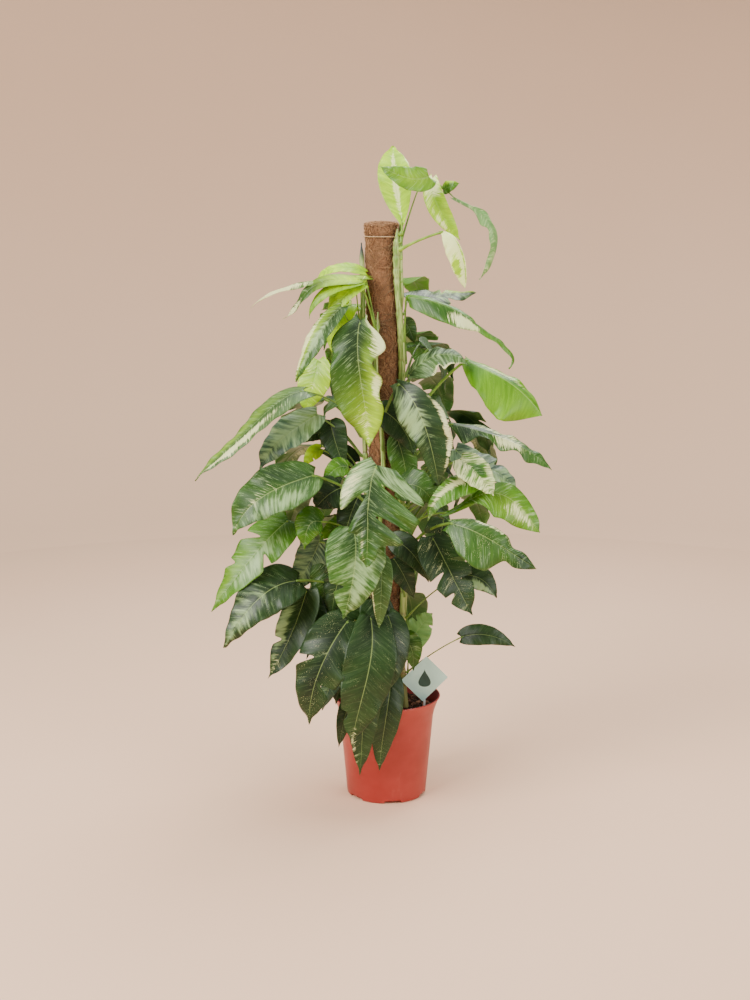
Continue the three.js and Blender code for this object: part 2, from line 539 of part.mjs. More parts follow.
// A thin closed blade: rows of points run from one edge over the midrib to the other along the side
// veins, on the upper and on the lower face.
function makeBlade(rib, width, traits) {
  const { fold = 0, full = 0.5, taper = 0.92, sweep = VEIN_SWEEP } = traits;
  const { port = [], starboard = [], portShare = 1, starboardShare = 1 } = traits;
  const { portEdge, starboardEdge, portFold = fold, starboardFold = fold } = traits;
  const places = rowPlaces([...port, ...starboard], [portEdge ?? [], starboardEdge ?? []], sweep);
  const columns = [-1, -0.5, 0, 0.5, 1];
  const upper = [];
  const lower = [];
  for (const place of places) {
    const end = veinEnd(place, sweep);
    for (const column of columns) {
      const onPort = [port, portShare, portEdge, portFold];
      const onStarboard = [starboard, starboardShare, starboardEdge, starboardFold];
      const [cuts, share, edge, drop] = column > 0 ? onStarboard : onPort;
      const tilt = THREE.MathUtils.degToRad(drop);
      const reach = Math.abs(column) * kept(place, cuts);
      const along = place + (end - place) * reach ** VEIN_BEND;
      const half = edge ? edgeWidth(edge, end) : (width / 2) * share * outline(end, full, taper);
      const out = Math.max(Math.abs(column) * LEAST_HALF_WIDTH, reach * half);
      const normal = rib.normal(along);
      const side = rib.tangent(along).cross(normal);
      const spot = rib
        .point(along)
        .addScaledVector(side, Math.sign(column) * out * Math.cos(tilt))
        .addScaledVector(normal, -out * Math.sin(tilt));
      upper.push(spot.clone().addScaledVector(normal, LEAF_THICKNESS / 2));
      lower.push(spot.clone().addScaledVector(normal, -LEAF_THICKNESS / 2));
    }
  }
  const triangles = [];
  const quad = (p, q, r, s) => triangles.push(p, q, r, p, r, s);
  const wide = columns.length;
  const under = upper.length;
  for (let i = 0; i + 1 < places.length; i += 1) {
    for (let j = 0; j + 1 < wide; j += 1) {
      const p = i * wide + j;
      quad(p, p + 1, p + wide + 1, p + wide);
      quad(under + p, under + p + wide, under + p + wide + 1, under + p + 1);
    }
    const left = i * wide;
    const right = left + wide - 1;
    quad(left, left + wide, under + left + wide, under + left);
    quad(right, under + right, under + right + wide, right + wide);
  }
  const last = (places.length - 1) * wide;
  for (let j = 0; j + 1 < wide; j += 1) {
    quad(j, under + j, under + j + 1, j + 1);
    quad(last + j, last + j + 1, under + last + j + 1, under + last + j);
  }
  const positions = new Float32Array([...upper, ...lower].flatMap((v) => [v.x, v.y, v.z]));
  const geometry = new THREE.BufferGeometry().setAttribute("position", new THREE.BufferAttribute(positions, 3));
  geometry.setIndex(triangles);
  return solidOf(geometry);
}

// A leaf: its blade with its stalk, grown as one piece.
function makeLeaf([, vineName, nodeHeight, points, width, face, traits]) {
  const rib = midrib(points, face);
  const stalkRadius = STALK_RADIUS * (traits.stalkWidth ?? 1);
  const { centre, out } = vineAt(vineName, nodeHeight);
  const knee = rib.point(KNEE_PLACE);
  const away = knee.clone().sub(centre).setZ(0).normalize().add(out).normalize();
  const foot = centre.clone().addScaledVector(away, VINES[vineName].radius + stalkRadius + STALK_CLEARANCE);
  const rise = (traits.rise ?? STALK_RISE) * foot.distanceTo(knee);
  const arch = foot.clone().lerp(knee, 0.5).add(new THREE.Vector3(0, 0, rise));
  const bend = traits.bend ? new THREE.Vector3(...traits.bend) : arch;
  const steps = traits.bend ? 2 * STALK_STEPS : STALK_STEPS;
  const stalk = tube(new THREE.QuadraticBezierCurve3(foot, bend, knee), stalkRadius, STALK_SIDES, steps);
  return stalk.add(makeBlade(rib, width, traits));
}

// Soil fills the pot, and is cut where the pole, the vines and the label's stake stand in it.
function makeSoil(cutters) {
  const floor = FOOT_HEIGHT + FLOOR + FIT_GAP;
  const radiusAt = (height) => potOuterRadius(height) - POT_WALL - FIT_GAP;
  const profile = [
    [0, floor],
    [radiusAt(floor) - 1, floor],
    [radiusAt(POT_WAIST_HEIGHT), POT_WAIST_HEIGHT],
    [radiusAt(SOIL_EDGE_HEIGHT) - 0.5, SOIL_EDGE_HEIGHT],
    [0.6 * POT_WAIST_RADIUS, SOIL_CROWN_HEIGHT - 2],
    [0, SOIL_CROWN_HEIGHT],
  ];
  return cutters.reduce((soil, cutter) => soil.subtract(cutter), solidOf(lathe(profile)));
}

// The room that the sleeve, stake and vines need in the soil.
function plantingHoles() {
  const reach = HOLE_HEIGHTS[HOLE_HEIGHTS.length - 1];
  const room = [
    onPole(lathe([[0, -1.5], [SLEEVE_RADIUS + FIT_GAP, -1.5], [SLEEVE_RADIUS + FIT_GAP, reach], [0, reach]])),
  ].map(solidOf);
  for (const [vineName, { radius }] of Object.entries(VINES)) {
    const points = HOLE_HEIGHTS.map((height) => vineAt(vineName, height).centre);
    room.push(tube(new THREE.CatmullRomCurve3(points), radius + VINE_ROOM, 8, 6));
  }
  return room;
}

// Label: a card on its corner, with a hole near its top, fixed to the front of a flat stake.
function makeLabel() {
  const [x, y, z] = CARD_CENTRE;
  const turn = THREE.MathUtils.degToRad(CARD_TURN_DEG);
  const card = new THREE.BoxGeometry(CARD_WIDTH, CARD_THICKNESS, CARD_HEIGHT).rotateY(turn).translate(x, y, z);
  const hole = new THREE.CylinderGeometry(CARD_HOLE_RADIUS, CARD_HOLE_RADIUS, 4 * CARD_THICKNESS, 10);
  hole.translate(x, y, z + CARD_HOLE_RISE);
  const stake = new THREE.BoxGeometry(LABEL_STAKE_WIDTH, LABEL_STAKE_THICKNESS, LABEL_STAKE_LENGTH);
  const behind = y + (CARD_THICKNESS + LABEL_STAKE_THICKNESS) / 2 + CARD_TO_STAKE;
  stake.translate(x, behind, z - 0.5 * LABEL_STAKE_LENGTH);
  const room = new THREE.BoxGeometry(LABEL_STAKE_WIDTH + 1, LABEL_STAKE_THICKNESS + 1, LABEL_STAKE_LENGTH + 1);
  room.translate(x, behind, z - 0.5 * LABEL_STAKE_LENGTH);
  addPiece("label_card", solidOf(card).subtract(solidOf(hole)), MATERIALS.card);
  addPiece("label_stake", solidOf(stake), MATERIALS.cardStake);
  return solidOf(room);
}

makePot();
addPiece("pole_stake", makeStake(), MATERIALS.stake);
addPiece("coir_sleeve", makeSleeve(), MATERIALS.coir);
addPiece("top_binding", makeBand(), MATERIALS.twine);
for (const vineName of Object.keys(VINES)) addPiece(`vine_${vineName}`, makeVine(vineName), MATERIALS.vine);
for (const leafName of new Set(LEAVES.map(([name]) => name))) {
  const [first, ...others] = LEAVES.filter(([name]) => name === leafName).map(makeLeaf);
  addPiece(leafName, others.reduce((whole, lobe) => whole.add(lobe), first), MATERIALS.leaf);
}
const labelRoom = makeLabel();
addPiece("soil", makeSoil([...plantingHoles(), labelRoom]), MATERIALS.soil);

export default plant;
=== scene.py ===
"""A variegated climbing aroid on a coir pole, in its nursery pot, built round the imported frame.

Places and sizes are in millimetres, as in the plant's own drawing, and MM turns them into metres where
a mesh is made. -Y is the plant's front and +Z is up. Each leaf is a surface of two values: place, how
far along the midrib its side vein starts, and reach, how far out along that vein, from -1 to 1.
"""
import math

import bpy
import numpy as np
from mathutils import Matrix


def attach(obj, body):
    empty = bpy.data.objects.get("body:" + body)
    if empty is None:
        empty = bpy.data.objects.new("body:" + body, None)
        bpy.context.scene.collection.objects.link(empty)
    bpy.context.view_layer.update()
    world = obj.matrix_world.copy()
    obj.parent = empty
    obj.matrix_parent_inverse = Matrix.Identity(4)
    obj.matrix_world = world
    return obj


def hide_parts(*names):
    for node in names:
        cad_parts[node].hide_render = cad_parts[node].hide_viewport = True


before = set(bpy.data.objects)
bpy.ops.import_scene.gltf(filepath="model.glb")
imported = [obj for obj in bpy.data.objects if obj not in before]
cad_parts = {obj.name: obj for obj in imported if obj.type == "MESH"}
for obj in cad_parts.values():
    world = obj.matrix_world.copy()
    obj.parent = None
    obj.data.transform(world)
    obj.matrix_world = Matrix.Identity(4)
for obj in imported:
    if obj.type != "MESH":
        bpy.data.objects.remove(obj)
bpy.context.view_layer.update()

MM = 0.001
rng = np.random.default_rng(7)

# Camera: 3.4 m in front of the pole, 1.33 m up, looking 10.56 degrees down
CAMERA_PLACE = (-0.027, -3.40, 1.33)
CAMERA_DOWN_DEG = 10.56
CAMERA_LENS = 54.6

# Pot
POT_HEIGHT = 236.0
POT_FOOT_RADIUS = 92.0
POT_WAIST_RADIUS = 109.0
POT_WAIST_HEIGHT = 188.0
POT_RIM_RADIUS = 124.0
POT_WALL = 2.2
FOOT_HEIGHT = 8.0
FLOOR_TOP = 10.5
FOOT_RING_WIDTH = 20.0
CENTRE_PAD_RADIUS = 30.0
FOOT_NOTCHES = 6
NOTCH_WIDTH = 40.0
NOTCH_HEIGHT = 7.0
FIRST_NOTCH_DEG = -81.0
DRAIN_HOLE_RADIUS = 6.0
DRAIN_HOLE_RING = 52.0

# Growing mix
SOIL_EDGE_HEIGHT = 207.0
SOIL_CROWN_HEIGHT = 214.0
CRUMBS = 900
CHIPS = 230

# Pole
POLE_FOOT = np.array([8.0, 0.0, 12.0])
POLE_TOP = np.array([-13.0, 0.0, 1316.0])
SLEEVE_RADIUS = 36.0
CAP_SPREAD = 2.0
CAP_LENGTH = 26.0
SHOULDER = POLE_TOP[2] - 9.0
LID_RISE = 12.0
BURIED_FOOT = 196.0
COIR_STRANDS = 4200
CROWN_STRANDS = 900

# Vines: degrees round the pole from +X, height reached, radius
VINES = {
    "front": (-104.0, 1125.0, 5.5),
    "right": (-38.0, 1305.0, 8.0),
    "left": (186.0, 1275.0, 6.0),
    "back": (82.0, 1165.0, 6.0),
}
# Sheaths by vine: lowest and highest point, degrees round from the vine's outer side, radius
SHEATHS = {
    "right": [(1128.0, 1300.0, 62.0, 4.6), (1000.0, 1150.0, -30.0, 3.6)],
    "front": [(1010.0, 1096.0, 40.0, 3.0)],
    "left": [(1040.0, 1130.0, -50.0, 3.0)],
}
SHEATH_ROWS = 60
SHEATH_SIDES = 14
VINE_WANDER_DEG = 9.0
VINE_WAVE = 70.0

# Leaf shape
BASAL_LOBE = 0.06
EDGE_MARGIN = 0.03
VEIN_SWEEP = 0.16
CUT_HALF_WIDTH = 0.05
SIDE_VEINS = 11
SIDE_LEAN = 0.8
LEAF_THICKNESS = 0.8
STALK_RISE = 0.16
STALK_STEPS = 34
STALK_SIDES = 10
# Rows along the midrib, and columns from the midrib to one edge
FRAME_LEAF_GRID = (90, 15)
EXTRA_LEAF_GRID = (64, 11)

# Label
CARD_WIDTH = 71.0
CARD_HEIGHT = 82.0
CARD_CENTRE = np.array([87.0, -45.0, 286.0])
CARD_TURN_DEG = 45.0
CARD_CORNER = 3.0
CARD_HOLE_RADIUS = 2.2
CARD_HOLE_RISE = 42.0
STAKE_LENGTH = 104.0
STAKE_HALF_WIDTH = 2.5

# Leaf colours, as red, green and blue from 0 to 255: the fresh tone and the deep tone
TONES = {
    # The lime and bright tones are partly the leaves' own colour and partly painted light: the glow of light
    # shining through thin leaves, painted into their colour
    "lime": ((196, 240, 0), (130, 184, 0)),
    "bright": ((124, 178, 0), (70, 124, 0)),
    "fresh": ((92, 146, 12), (40, 84, 4)),
    "mid": ((68, 112, 28), (27, 56, 11)),
    "grey": ((88, 122, 56), (38, 64, 26)),
    "dark": ((42, 72, 26), (14, 30, 8)),
    "blue": ((76, 108, 86), (30, 50, 38)),
    "mint": ((144, 194, 106), (114, 164, 86)),
}
# How strongly pale streaks marble each tone
MARBLING = {"lime": 0.0, "bright": 0.0, "fresh": 0.55, "mid": 0.6, "grey": 0.65, "dark": 0.12, "blue": 0.5,
            "mint": 0.35}
CREAM = (255, 255, 186)
SILVER = (168, 200, 136)
STALK_TONE = (140, 176, 70)


def linear(colour):
    """A colour from 0 to 255 as the linear values that a shader takes: the usual display curve, undone."""
    c = np.asarray(colour, float) / 255.0
    return np.where(c <= 0.04045, c / 12.92, ((c + 0.055) / 1.055) ** 2.4)


def unit(vectors):
    """Each vector divided by its own length."""
    return vectors / np.maximum(np.linalg.norm(vectors, axis=-1, keepdims=True), 1e-12)


def smooth(x):
    """0 below 0, 1 above 1, and the even curve 3x^2 - 2x^3 between."""
    x = np.clip(x, 0.0, 1.0)
    return x * x * (3.0 - 2.0 * x)


def outward(angle):
    """The level direction at each angle round +Z."""
    return np.stack([np.cos(angle), np.sin(angle), np.zeros_like(angle)], axis=-1)


def ripple(x, y, waves, seed):
    """Soft noise between about -1 and 1: the mean of sine waves across the plane in random directions."""
    source = np.random.default_rng(seed)
    total = np.zeros(np.broadcast(x, y).shape)
    for _ in range(waves):
        heading = source.uniform(0.0, 2.0 * math.pi)
        pitch = source.uniform(0.6, 1.8)
        phase = source.uniform(0.0, 2.0 * math.pi)
        total += np.sin(pitch * (x * math.cos(heading) + y * math.sin(heading)) + phase)
    return total * 1.6 / waves


# Meshes


def ringed(rings):
    """Closed shells from rings of points, shape (shells, rings, points round, 3): quads join each ring to
    the next, and a fan from the ring's middle closes each end. Rings run counter-clockwise round the way
    they follow, so the faces look out. Gives points, quads and triangles."""
    shells, count, round_, _ = rings.shape
    grid = np.arange(shells * count * round_).reshape(shells, count, round_)
    nxt = np.roll(grid, -1, axis=2)
    quads = np.stack([grid[:, :-1], nxt[:, :-1], nxt[:, 1:], grid[:, 1:]], axis=-1).reshape(-1, 4)
    starts = rings[:, 0].mean(axis=1)
    ends = rings[:, -1].mean(axis=1)
    first = grid.size + np.arange(shells)
    last = first + shells
    begin = np.stack([np.broadcast_to(first[:, None], nxt[:, 0].shape), nxt[:, 0], grid[:, 0]], axis=-1)
    finish = np.stack([np.broadcast_to(last[:, None], nxt[:, -1].shape), grid[:, -1], nxt[:, -1]], axis=-1)
    points = np.concatenate([rings.reshape(-1, 3), starts, ends])
    return points, quads, np.concatenate([begin.reshape(-1, 3), finish.reshape(-1, 3)])


def on_shells(numbers, points_each):
    """A number for each closed shell of ringed, repeated over its points and its two end points."""
    return np.concatenate([np.repeat(numbers, points_each), numbers, numbers])


def looped(rings):
    """A closed ring-shaped tube: as ringed, but the last ring joins the first and there are no ends."""
    count, round_, _ = rings.shape
    grid = np.arange(count * round_).reshape(count, round_)
    side = np.roll(grid, -1, axis=1)
    on = np.roll(grid, -1, axis=0)
    quads = np.stack([grid, side, np.roll(side, -1, axis=0), on], axis=-1).reshape(-1, 4)
    return rings.reshape(-1, 3), quads, np.zeros((0, 3), int)


def slab(upper, lower):
    """A closed thin sheet between two grids of points of shape (rows, columns, 3): the upper grid, the lower
    one turned over, and a strip round the edge."""
    rows, columns, _ = upper.shape
    top = np.arange(rows * columns).reshape(rows, columns)
    under = top + rows * columns

    def strip(a, b, c, d):
        return np.stack([a, b, c, d], axis=-1).reshape(-1, 4)

    quads = np.concatenate([
        strip(top[:-1, :-1], top[:-1, 1:], top[1:, 1:], top[1:, :-1]),
        strip(under[:-1, :-1], under[1:, :-1], under[1:, 1:], under[:-1, 1:]),
        strip(top[:-1, 0], top[1:, 0], under[1:, 0], under[:-1, 0]),
        strip(top[:-1, -1], under[:-1, -1], under[1:, -1], top[1:, -1]),
        strip(top[0, :-1], under[0, :-1], under[0, 1:], top[0, 1:]),
        strip(top[-1, :-1], top[-1, 1:], under[-1, 1:], under[-1, :-1]),
    ])
    return np.concatenate([upper.reshape(-1, 3), lower.reshape(-1, 3)]), quads, np.zeros((0, 3), int)


def round_sections(paths, radii, sides, away):
    """Round sections across paths of shape (shells, points, 3), each square to its path and started from
    the direction away, for ringed or looped."""
    along = unit(np.gradient(paths, axis=1))
    side = unit(away - (away * along).sum(-1, keepdims=True) * along)
    up = np.cross(along, side)
    turn = np.linspace(0.0, 2.0 * math.pi, sides, endpoint=False)
    spokes = side[:, :, None] * np.cos(turn)[:, None] + up[:, :, None] * np.sin(turn)[:, None]
    return paths[:, :, None] + spokes * np.broadcast_to(radii, paths.shape[:2])[:, :, None, None]


def joined(parts):
    """Several (points, quads, triangles) as one."""
    offsets = np.cumsum([0] + [len(part[0]) for part in parts[:-1]])
    points = np.concatenate([part[0] for part in parts])
    quads = np.concatenate([part[1] + start for part, start in zip(parts, offsets)])
    triangles = np.concatenate([part[2] + start for part, start in zip(parts, offsets)])
    return points, quads, triangles


def mesh_object(name, shape, values=None, colours=None, uv=None, smooth_faces=True):
    """A mesh object from points in millimetres, quads and triangles, with a number or colour kept at each
    point under its own name, and a UV pair for each point."""
    points, quads, triangles = shape
    corners = np.concatenate([quads.ravel(), triangles.ravel()]).astype(np.int32)
    totals = np.concatenate([np.full(len(quads), 4), np.full(len(triangles), 3)]).astype(np.int32)
    starts = np.concatenate([[0], np.cumsum(totals)[:-1]]).astype(np.int32)
    mesh = bpy.data.meshes.new(name)
    mesh.vertices.add(len(points))
    mesh.vertices.foreach_set("co", (points * MM).astype(np.float32).ravel())
    mesh.loops.add(len(corners))
    mesh.loops.foreach_set("vertex_index", corners)
    mesh.polygons.add(len(totals))
    mesh.polygons.foreach_set("loop_start", starts)
    mesh.polygons.foreach_set("use_smooth", np.full(len(totals), smooth_faces))
    mesh.update(calc_edges=True)
    for key, numbers in (values or {}).items():
        layer = mesh.attributes.new(key, "FLOAT", "POINT")
        layer.data.foreach_set("value", np.asarray(numbers, np.float32).ravel())
    for key, rgb in (colours or {}).items():
        layer = mesh.attributes.new(key, "FLOAT_COLOR", "POINT")
        rgba = np.concatenate([rgb, np.ones((len(rgb), 1))], axis=1)
        layer.data.foreach_set("color", rgba.astype(np.float32).ravel())
    if uv is not None:
        layer = mesh.uv_layers.new(name="veins")
        layer.data.foreach_set("uv", uv[corners].astype(np.float32).ravel())
    made = bpy.data.objects.new(name, mesh)
    bpy.context.scene.collection.objects.link(made)
    return made


def add_piece(made, look, slot, *nodes):
    """Gives a finished piece its material, puts it under the root body and hides the CAD nodes that it
    stands for. The slot is not used.
    """
    made.data.materials.clear()
    made.data.materials.append(look)
    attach(made, "root")
    if nodes:
        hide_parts(*nodes)
    return made


def carve(made, cutter):
    """Cuts one closed object out of another, and keeps the result as the first one's own mesh."""
    tool = made.modifiers.new("cut", "BOOLEAN")
    tool.operation = "DIFFERENCE"
    tool.solver = "EXACT"
    tool.object = cutter
    depsgraph = bpy.context.evaluated_depsgraph_get()
    result = bpy.data.meshes.new_from_object(made.evaluated_get(depsgraph))
    made.modifiers.clear()
    made.data = result
    bpy.data.objects.remove(cutter)
    return made


# Materials


class Finish:
    """A material with one Principled shader, and short ways to add the nodes that feed it."""

    def __init__(self, name, **sockets):
        self.material = bpy.data.materials.new(name)
        self.material.use_nodes = True
        self.tree = self.material.node_tree
        self.shader = self.tree.nodes["Principled BSDF"]
        for key, value in sockets.items():
            self.shader.inputs[key.replace("_", " ")].default_value = value

    def add(self, kind, **settings):
        made = self.tree.nodes.new(kind)
        for key, value in settings.items():
            setattr(made, key, value)
        return made

    def put(self, socket, value):
        """Links a socket to another, or sets it to a plain value."""
        if isinstance(value, bpy.types.NodeSocket):
            self.tree.links.new(value, socket)
        elif socket.type == "RGBA" and len(value) == 3:
            socket.default_value = (*value, 1.0)
        else:
            socket.default_value = value

    def math(self, operation, *values):
        made = self.add("ShaderNodeMath", operation=operation)
        for socket, value in zip(made.inputs, values):
            self.put(socket, value)
        return made.outputs[0]

    def step(self, value, low, high):
        """0 below low, 1 above high, smooth between. low may be above high."""
        made = self.add("ShaderNodeMapRange", interpolation_type="SMOOTHSTEP")
        self.put(made.inputs["Value"], value)
        made.inputs["From Min"].default_value = low
        made.inputs["From Max"].default_value = high
        return made.outputs["Result"]

    def mix(self, share, a, b, blend="MIX"):
        made = self.add("ShaderNodeMix", data_type="RGBA", blend_type=blend)
        self.put(made.inputs["Factor"], share)
        self.put(made.inputs[6], a)
        self.put(made.inputs[7], b)
        return made.outputs[2]

    def two_tone(self, noise, low, high, first, second):
        """The first colour where the noise is below low, the second above high."""
        return self.mix(self.step(noise, low, high), linear(first), linear(second))

    def fleck(self, tone, noise, low, high, share, colour):
        """A share of another colour mixed in where the noise is high."""
        return self.mix(self.math("MULTIPLY", self.step(noise, low, high), share), tone, linear(colour))

    def where(self, stretch=(1.0, 1.0, 1.0), uv=None):
        """Object coordinates, or a UV map's, each axis times its stretch."""
        source = self.add("ShaderNodeUVMap", uv_map=uv) if uv else self.add("ShaderNodeTexCoord")
        mapping = self.add("ShaderNodeMapping")
        self.put(mapping.inputs["Vector"], source.outputs["UV" if uv else "Object"])
        mapping.inputs["Scale"].default_value = stretch
        return mapping.outputs["Vector"]

    def noise(self, place, detail=4.0, roughness=0.55, distortion=0.0):
        made = self.add("ShaderNodeTexNoise")
        self.put(made.inputs["Vector"], place)
        made.inputs["Scale"].default_value = 1.0
        made.inputs["Detail"].default_value = detail
        made.inputs["Roughness"].default_value = roughness
        made.inputs["Distortion"].default_value = distortion
        return made.outputs["Fac"]

    def attribute(self, name, colour=False):
        made = self.add("ShaderNodeAttribute", attribute_name=name)
        return made.outputs["Color" if colour else "Fac"]

    def bump(self, height, strength, distance):
        made = self.add("ShaderNodeBump")
        made.inputs["Strength"].default_value = strength
        made.inputs["Distance"].default_value = distance
        self.put(made.inputs["Height"], height)
        self.put(self.shader.inputs["Normal"], made.outputs["Normal"])

    def colour(self, value):
        self.put(self.shader.inputs["Base Color"], value)

    def roughness(self, value):
        self.put(self.shader.inputs["Roughness"], value)


def leaf_look():
    """Marbled leaf. Its tone is kept at each point and shaded by streaks along the side veins. Silver
    patches are soft and cream ones break up into fine streaks and flecks. The side veins are thin
    paler lines, and the underside is duller."""
    look = Finish("marbled_leaf", Roughness=0.36, Specular_IOR_Level=0.36)
    streaks = look.noise(look.where((320.0, 36.0, 1.0), "veins"), detail=5.0, roughness=0.65)
    broad = look.noise(look.where((120.0, 22.0, 1.0), "veins"), detail=4.0, roughness=0.6, distortion=0.3)
    blotches = look.noise(look.where((48.0, 30.0, 1.0), "veins"), detail=3.0)
    fine = look.noise(look.where((900.0, 420.0, 1.0), "veins"), detail=2.0)
    tone = look.attribute("tone", colour=True)
    cream = look.mix(0.3, linear(CREAM), tone)
    shaded = look.mix(1.0, tone, (0.68, 0.74, 0.68), "MULTIPLY")
    tone = look.mix(look.step(broad, 0.38, 0.66), shaded, tone)
    marbling = look.math("MULTIPLY", look.step(streaks, 0.53, 0.66), look.attribute("marbling"))
    tone = look.mix(marbling, tone, look.mix(0.7, tone, linear(SILVER)))

    def patch(name, breakup, spread, soft):
        """Where a patch level, roughened by noise, passes one half."""
        level = look.math("MULTIPLY_ADD", breakup, spread, look.attribute(name))
        level = look.math("MULTIPLY_ADD", blotches, 0.7, level)
        return look.step(level, 0.85 + 0.5 * spread - soft, 0.85 + 0.5 * spread + soft)

    tone = look.mix(look.math("MULTIPLY", patch("silver", broad, 1.4, 0.26), 0.75), tone, linear(SILVER))
    tone = look.mix(patch("cream", broad, 1.6, 0.2), tone, look.mix(0.5, tone, cream))
    tone = look.mix(patch("cream", streaks, 2.0, 0.12), tone, cream)
    specks = look.math("MULTIPLY", look.step(fine, 0.64, 0.7), look.step(blotches, 0.48, 0.6))
    specks = look.math("MULTIPLY", specks, look.attribute("specks"))
    tone = look.mix(specks, tone, linear(CREAM))
    off_vein = look.math("ABSOLUTE", look.math("SUBTRACT", look.math("FRACT", look.attribute("rib")), 0.5))
    vein = look.step(off_vein, 0.42, 0.48)
    tone = look.mix(look.math("MULTIPLY", vein, 0.03), tone, linear((176, 196, 130)))
    reach = look.math("ABSOLUTE", look.attribute("reach"))
    tone = look.fleck(tone, reach, 0.026, 0.01, 0.4, (168, 192, 110))
    dull = look.mix(0.4, tone, linear((104, 156, 84)))
    look.colour(look.mix(look.attribute("under"), tone, dull))
    look.roughness(look.math("MULTIPLY_ADD", broad, 0.25, 0.26))
    look.bump(look.math("MULTIPLY_ADD", vein, -0.2, fine), 0.3, 0.0004)
    return look.material


LEAF_LOOK = leaf_look()


def vine_look():
    """Smooth stem: pale green with darker long streaks, browner where it has barked."""
    look = Finish("vine_skin", Roughness=0.45)
    streaks = look.noise(look.where((260.0, 260.0, 14.0)), detail=4.0)
    patches = look.noise(look.where((30.0, 30.0, 18.0)), detail=3.0)
    tone = look.two_tone(streaks, 0.42, 0.6, (182, 202, 116), (112, 148, 56))
    tone = look.mix(look.attribute("bark"), tone, linear((120, 104, 66)))
    tone = look.fleck(tone, patches, 0.55, 0.75, 0.4, (146, 128, 84))
    look.colour(look.mix(look.attribute("tip"), tone, linear((44, 58, 60))))
    look.bump(streaks, 0.4, 0.0006)
    return look.material


def root_look():
    """Dry aerial root: brown, with pale corky flecks."""
    look = Finish("aerial_root", Roughness=0.85)
    flecks = look.noise(look.where((600.0, 600.0, 600.0)), detail=3.0)
    look.colour(look.two_tone(flecks, 0.45, 0.65, (92, 66, 42), (150, 122, 84)))
    look.bump(flecks, 0.5, 0.0004)
    return look.material


def coir_look(name, dark, light, bump):
    """Matted coir: two browns in coarse and fine flecks, and a shade kept for each fibre."""
    look = Finish(name, Roughness=0.92, Specular_IOR_Level=0.2)
    flecks = look.noise(look.where((420.0, 420.0, 260.0)), detail=6.0, roughness=0.7)
    clouds = look.noise(look.where((26.0, 26.0, 18.0)), detail=3.0)
    tone = look.two_tone(flecks, 0.34, 0.66, dark, light)
    tone = look.fleck(tone, clouds, 0.4, 0.7, 0.35, (140, 78, 50))
    shadowed = look.mix(0.5, tone, (0.01, 0.005, 0.003))
    sunlit = look.mix(0.5, tone, linear((230, 180, 128)))
    look.colour(look.mix(look.attribute("shade"), shadowed, sunlit))
    look.bump(flecks, bump, 0.0015)
    return look.material


def pot_look():
    """Moulded plastic: terracotta red, a little mottled, with pale flecks and a soft gloss."""
    look = Finish("pot_plastic", Roughness=0.38, Specular_IOR_Level=0.5)
    clouds = look.noise(look.where((9.0, 9.0, 14.0)), detail=3.0)
    grain = look.noise(look.where((500.0, 500.0, 500.0)), detail=2.0)
    dust = look.noise(look.where((60.0, 60.0, 24.0)), detail=5.0)
    tone = look.two_tone(clouds, 0.3, 0.7, (152, 40, 33), (168, 54, 47))
    tone = look.fleck(tone, dust, 0.6, 0.8, 0.14, (206, 120, 100))
    look.colour(tone)
    look.roughness(look.math("MULTIPLY_ADD", dust, 0.25, 0.28))
    look.bump(grain, 0.06, 0.0003)
    return look.material


def soil_look():
    """Moist mix: near-black crumbs with brown flecks."""
    look = Finish("growing_mix", Roughness=0.95, Specular_IOR_Level=0.25)
    crumbs = look.noise(look.where((300.0, 300.0, 300.0)), detail=6.0, roughness=0.7)
    clouds = look.noise(look.where((50.0, 50.0, 50.0)), detail=3.0)
    tone = look.two_tone(crumbs, 0.35, 0.7, (24, 17, 13), (84, 58, 40))
    tone = look.fleck(tone, clouds, 0.5, 0.7, 0.4, (52, 34, 26))
    look.colour(tone)
    look.bump(crumbs, 0.9, 0.002)
    return look.material


def bark_look():
    """Bark chip: reddish brown with grey weathering, by a shade kept for each chip."""
    look = Finish("bark_chip", Roughness=0.9, Specular_IOR_Level=0.25)
    grain = look.noise(look.where((220.0, 520.0, 380.0)), detail=5.0)
    tone = look.mix(look.attribute("shade"), linear((66, 36, 26)), linear((150, 104, 78)))
    look.colour(look.fleck(tone, grain, 0.4, 0.65, 0.5, (40, 26, 20)))
    look.bump(grain, 0.8, 0.001)
    return look.material


def twine_look():
    """Thin twisted twine: straw brown with dark gaps between its strands."""
    look = Finish("twine", Roughness=0.8)
    fray = look.noise(look.where((900.0, 900.0, 900.0)), detail=3.0)
    look.colour(look.two_tone(fray, 0.35, 0.65, (150, 116, 80), (222, 190, 148)))
    look.bump(fray, 0.5, 0.0003)
    return look.material


def plastic_look(name, tone, other, roughness):
    """Thin printed or moulded plastic: one tone, faintly clouded, with a fine grain."""
    look = Finish(name, Roughness=roughness, Specular_IOR_Level=0.45)
    clouds = look.noise(look.where((40.0, 40.0, 40.0)), detail=3.0)
    grain = look.noise(look.where((1500.0, 1500.0, 1500.0)), detail=1.0)
    look.colour(look.two_tone(clouds, 0.3, 0.7, tone, other))
    look.bump(grain, 0.05, 0.0002)
    return look.material


VINE_LOOK = vine_look()


# Pole


def pole_centre(height):
    """The pole's axis at a height: its foot plus the same share of the way to its top."""
    share = (np.asarray(height, float) - POLE_FOOT[2]) / (POLE_TOP[2] - POLE_FOOT[2])
    return POLE_FOOT + share[..., None] * (POLE_TOP - POLE_FOOT)


def round_pole(angle, height, radius):
    """The point at an angle round the pole, a height, and a distance from the axis."""
    return pole_centre(height) + outward(angle) * np.asarray(radius)[..., None]


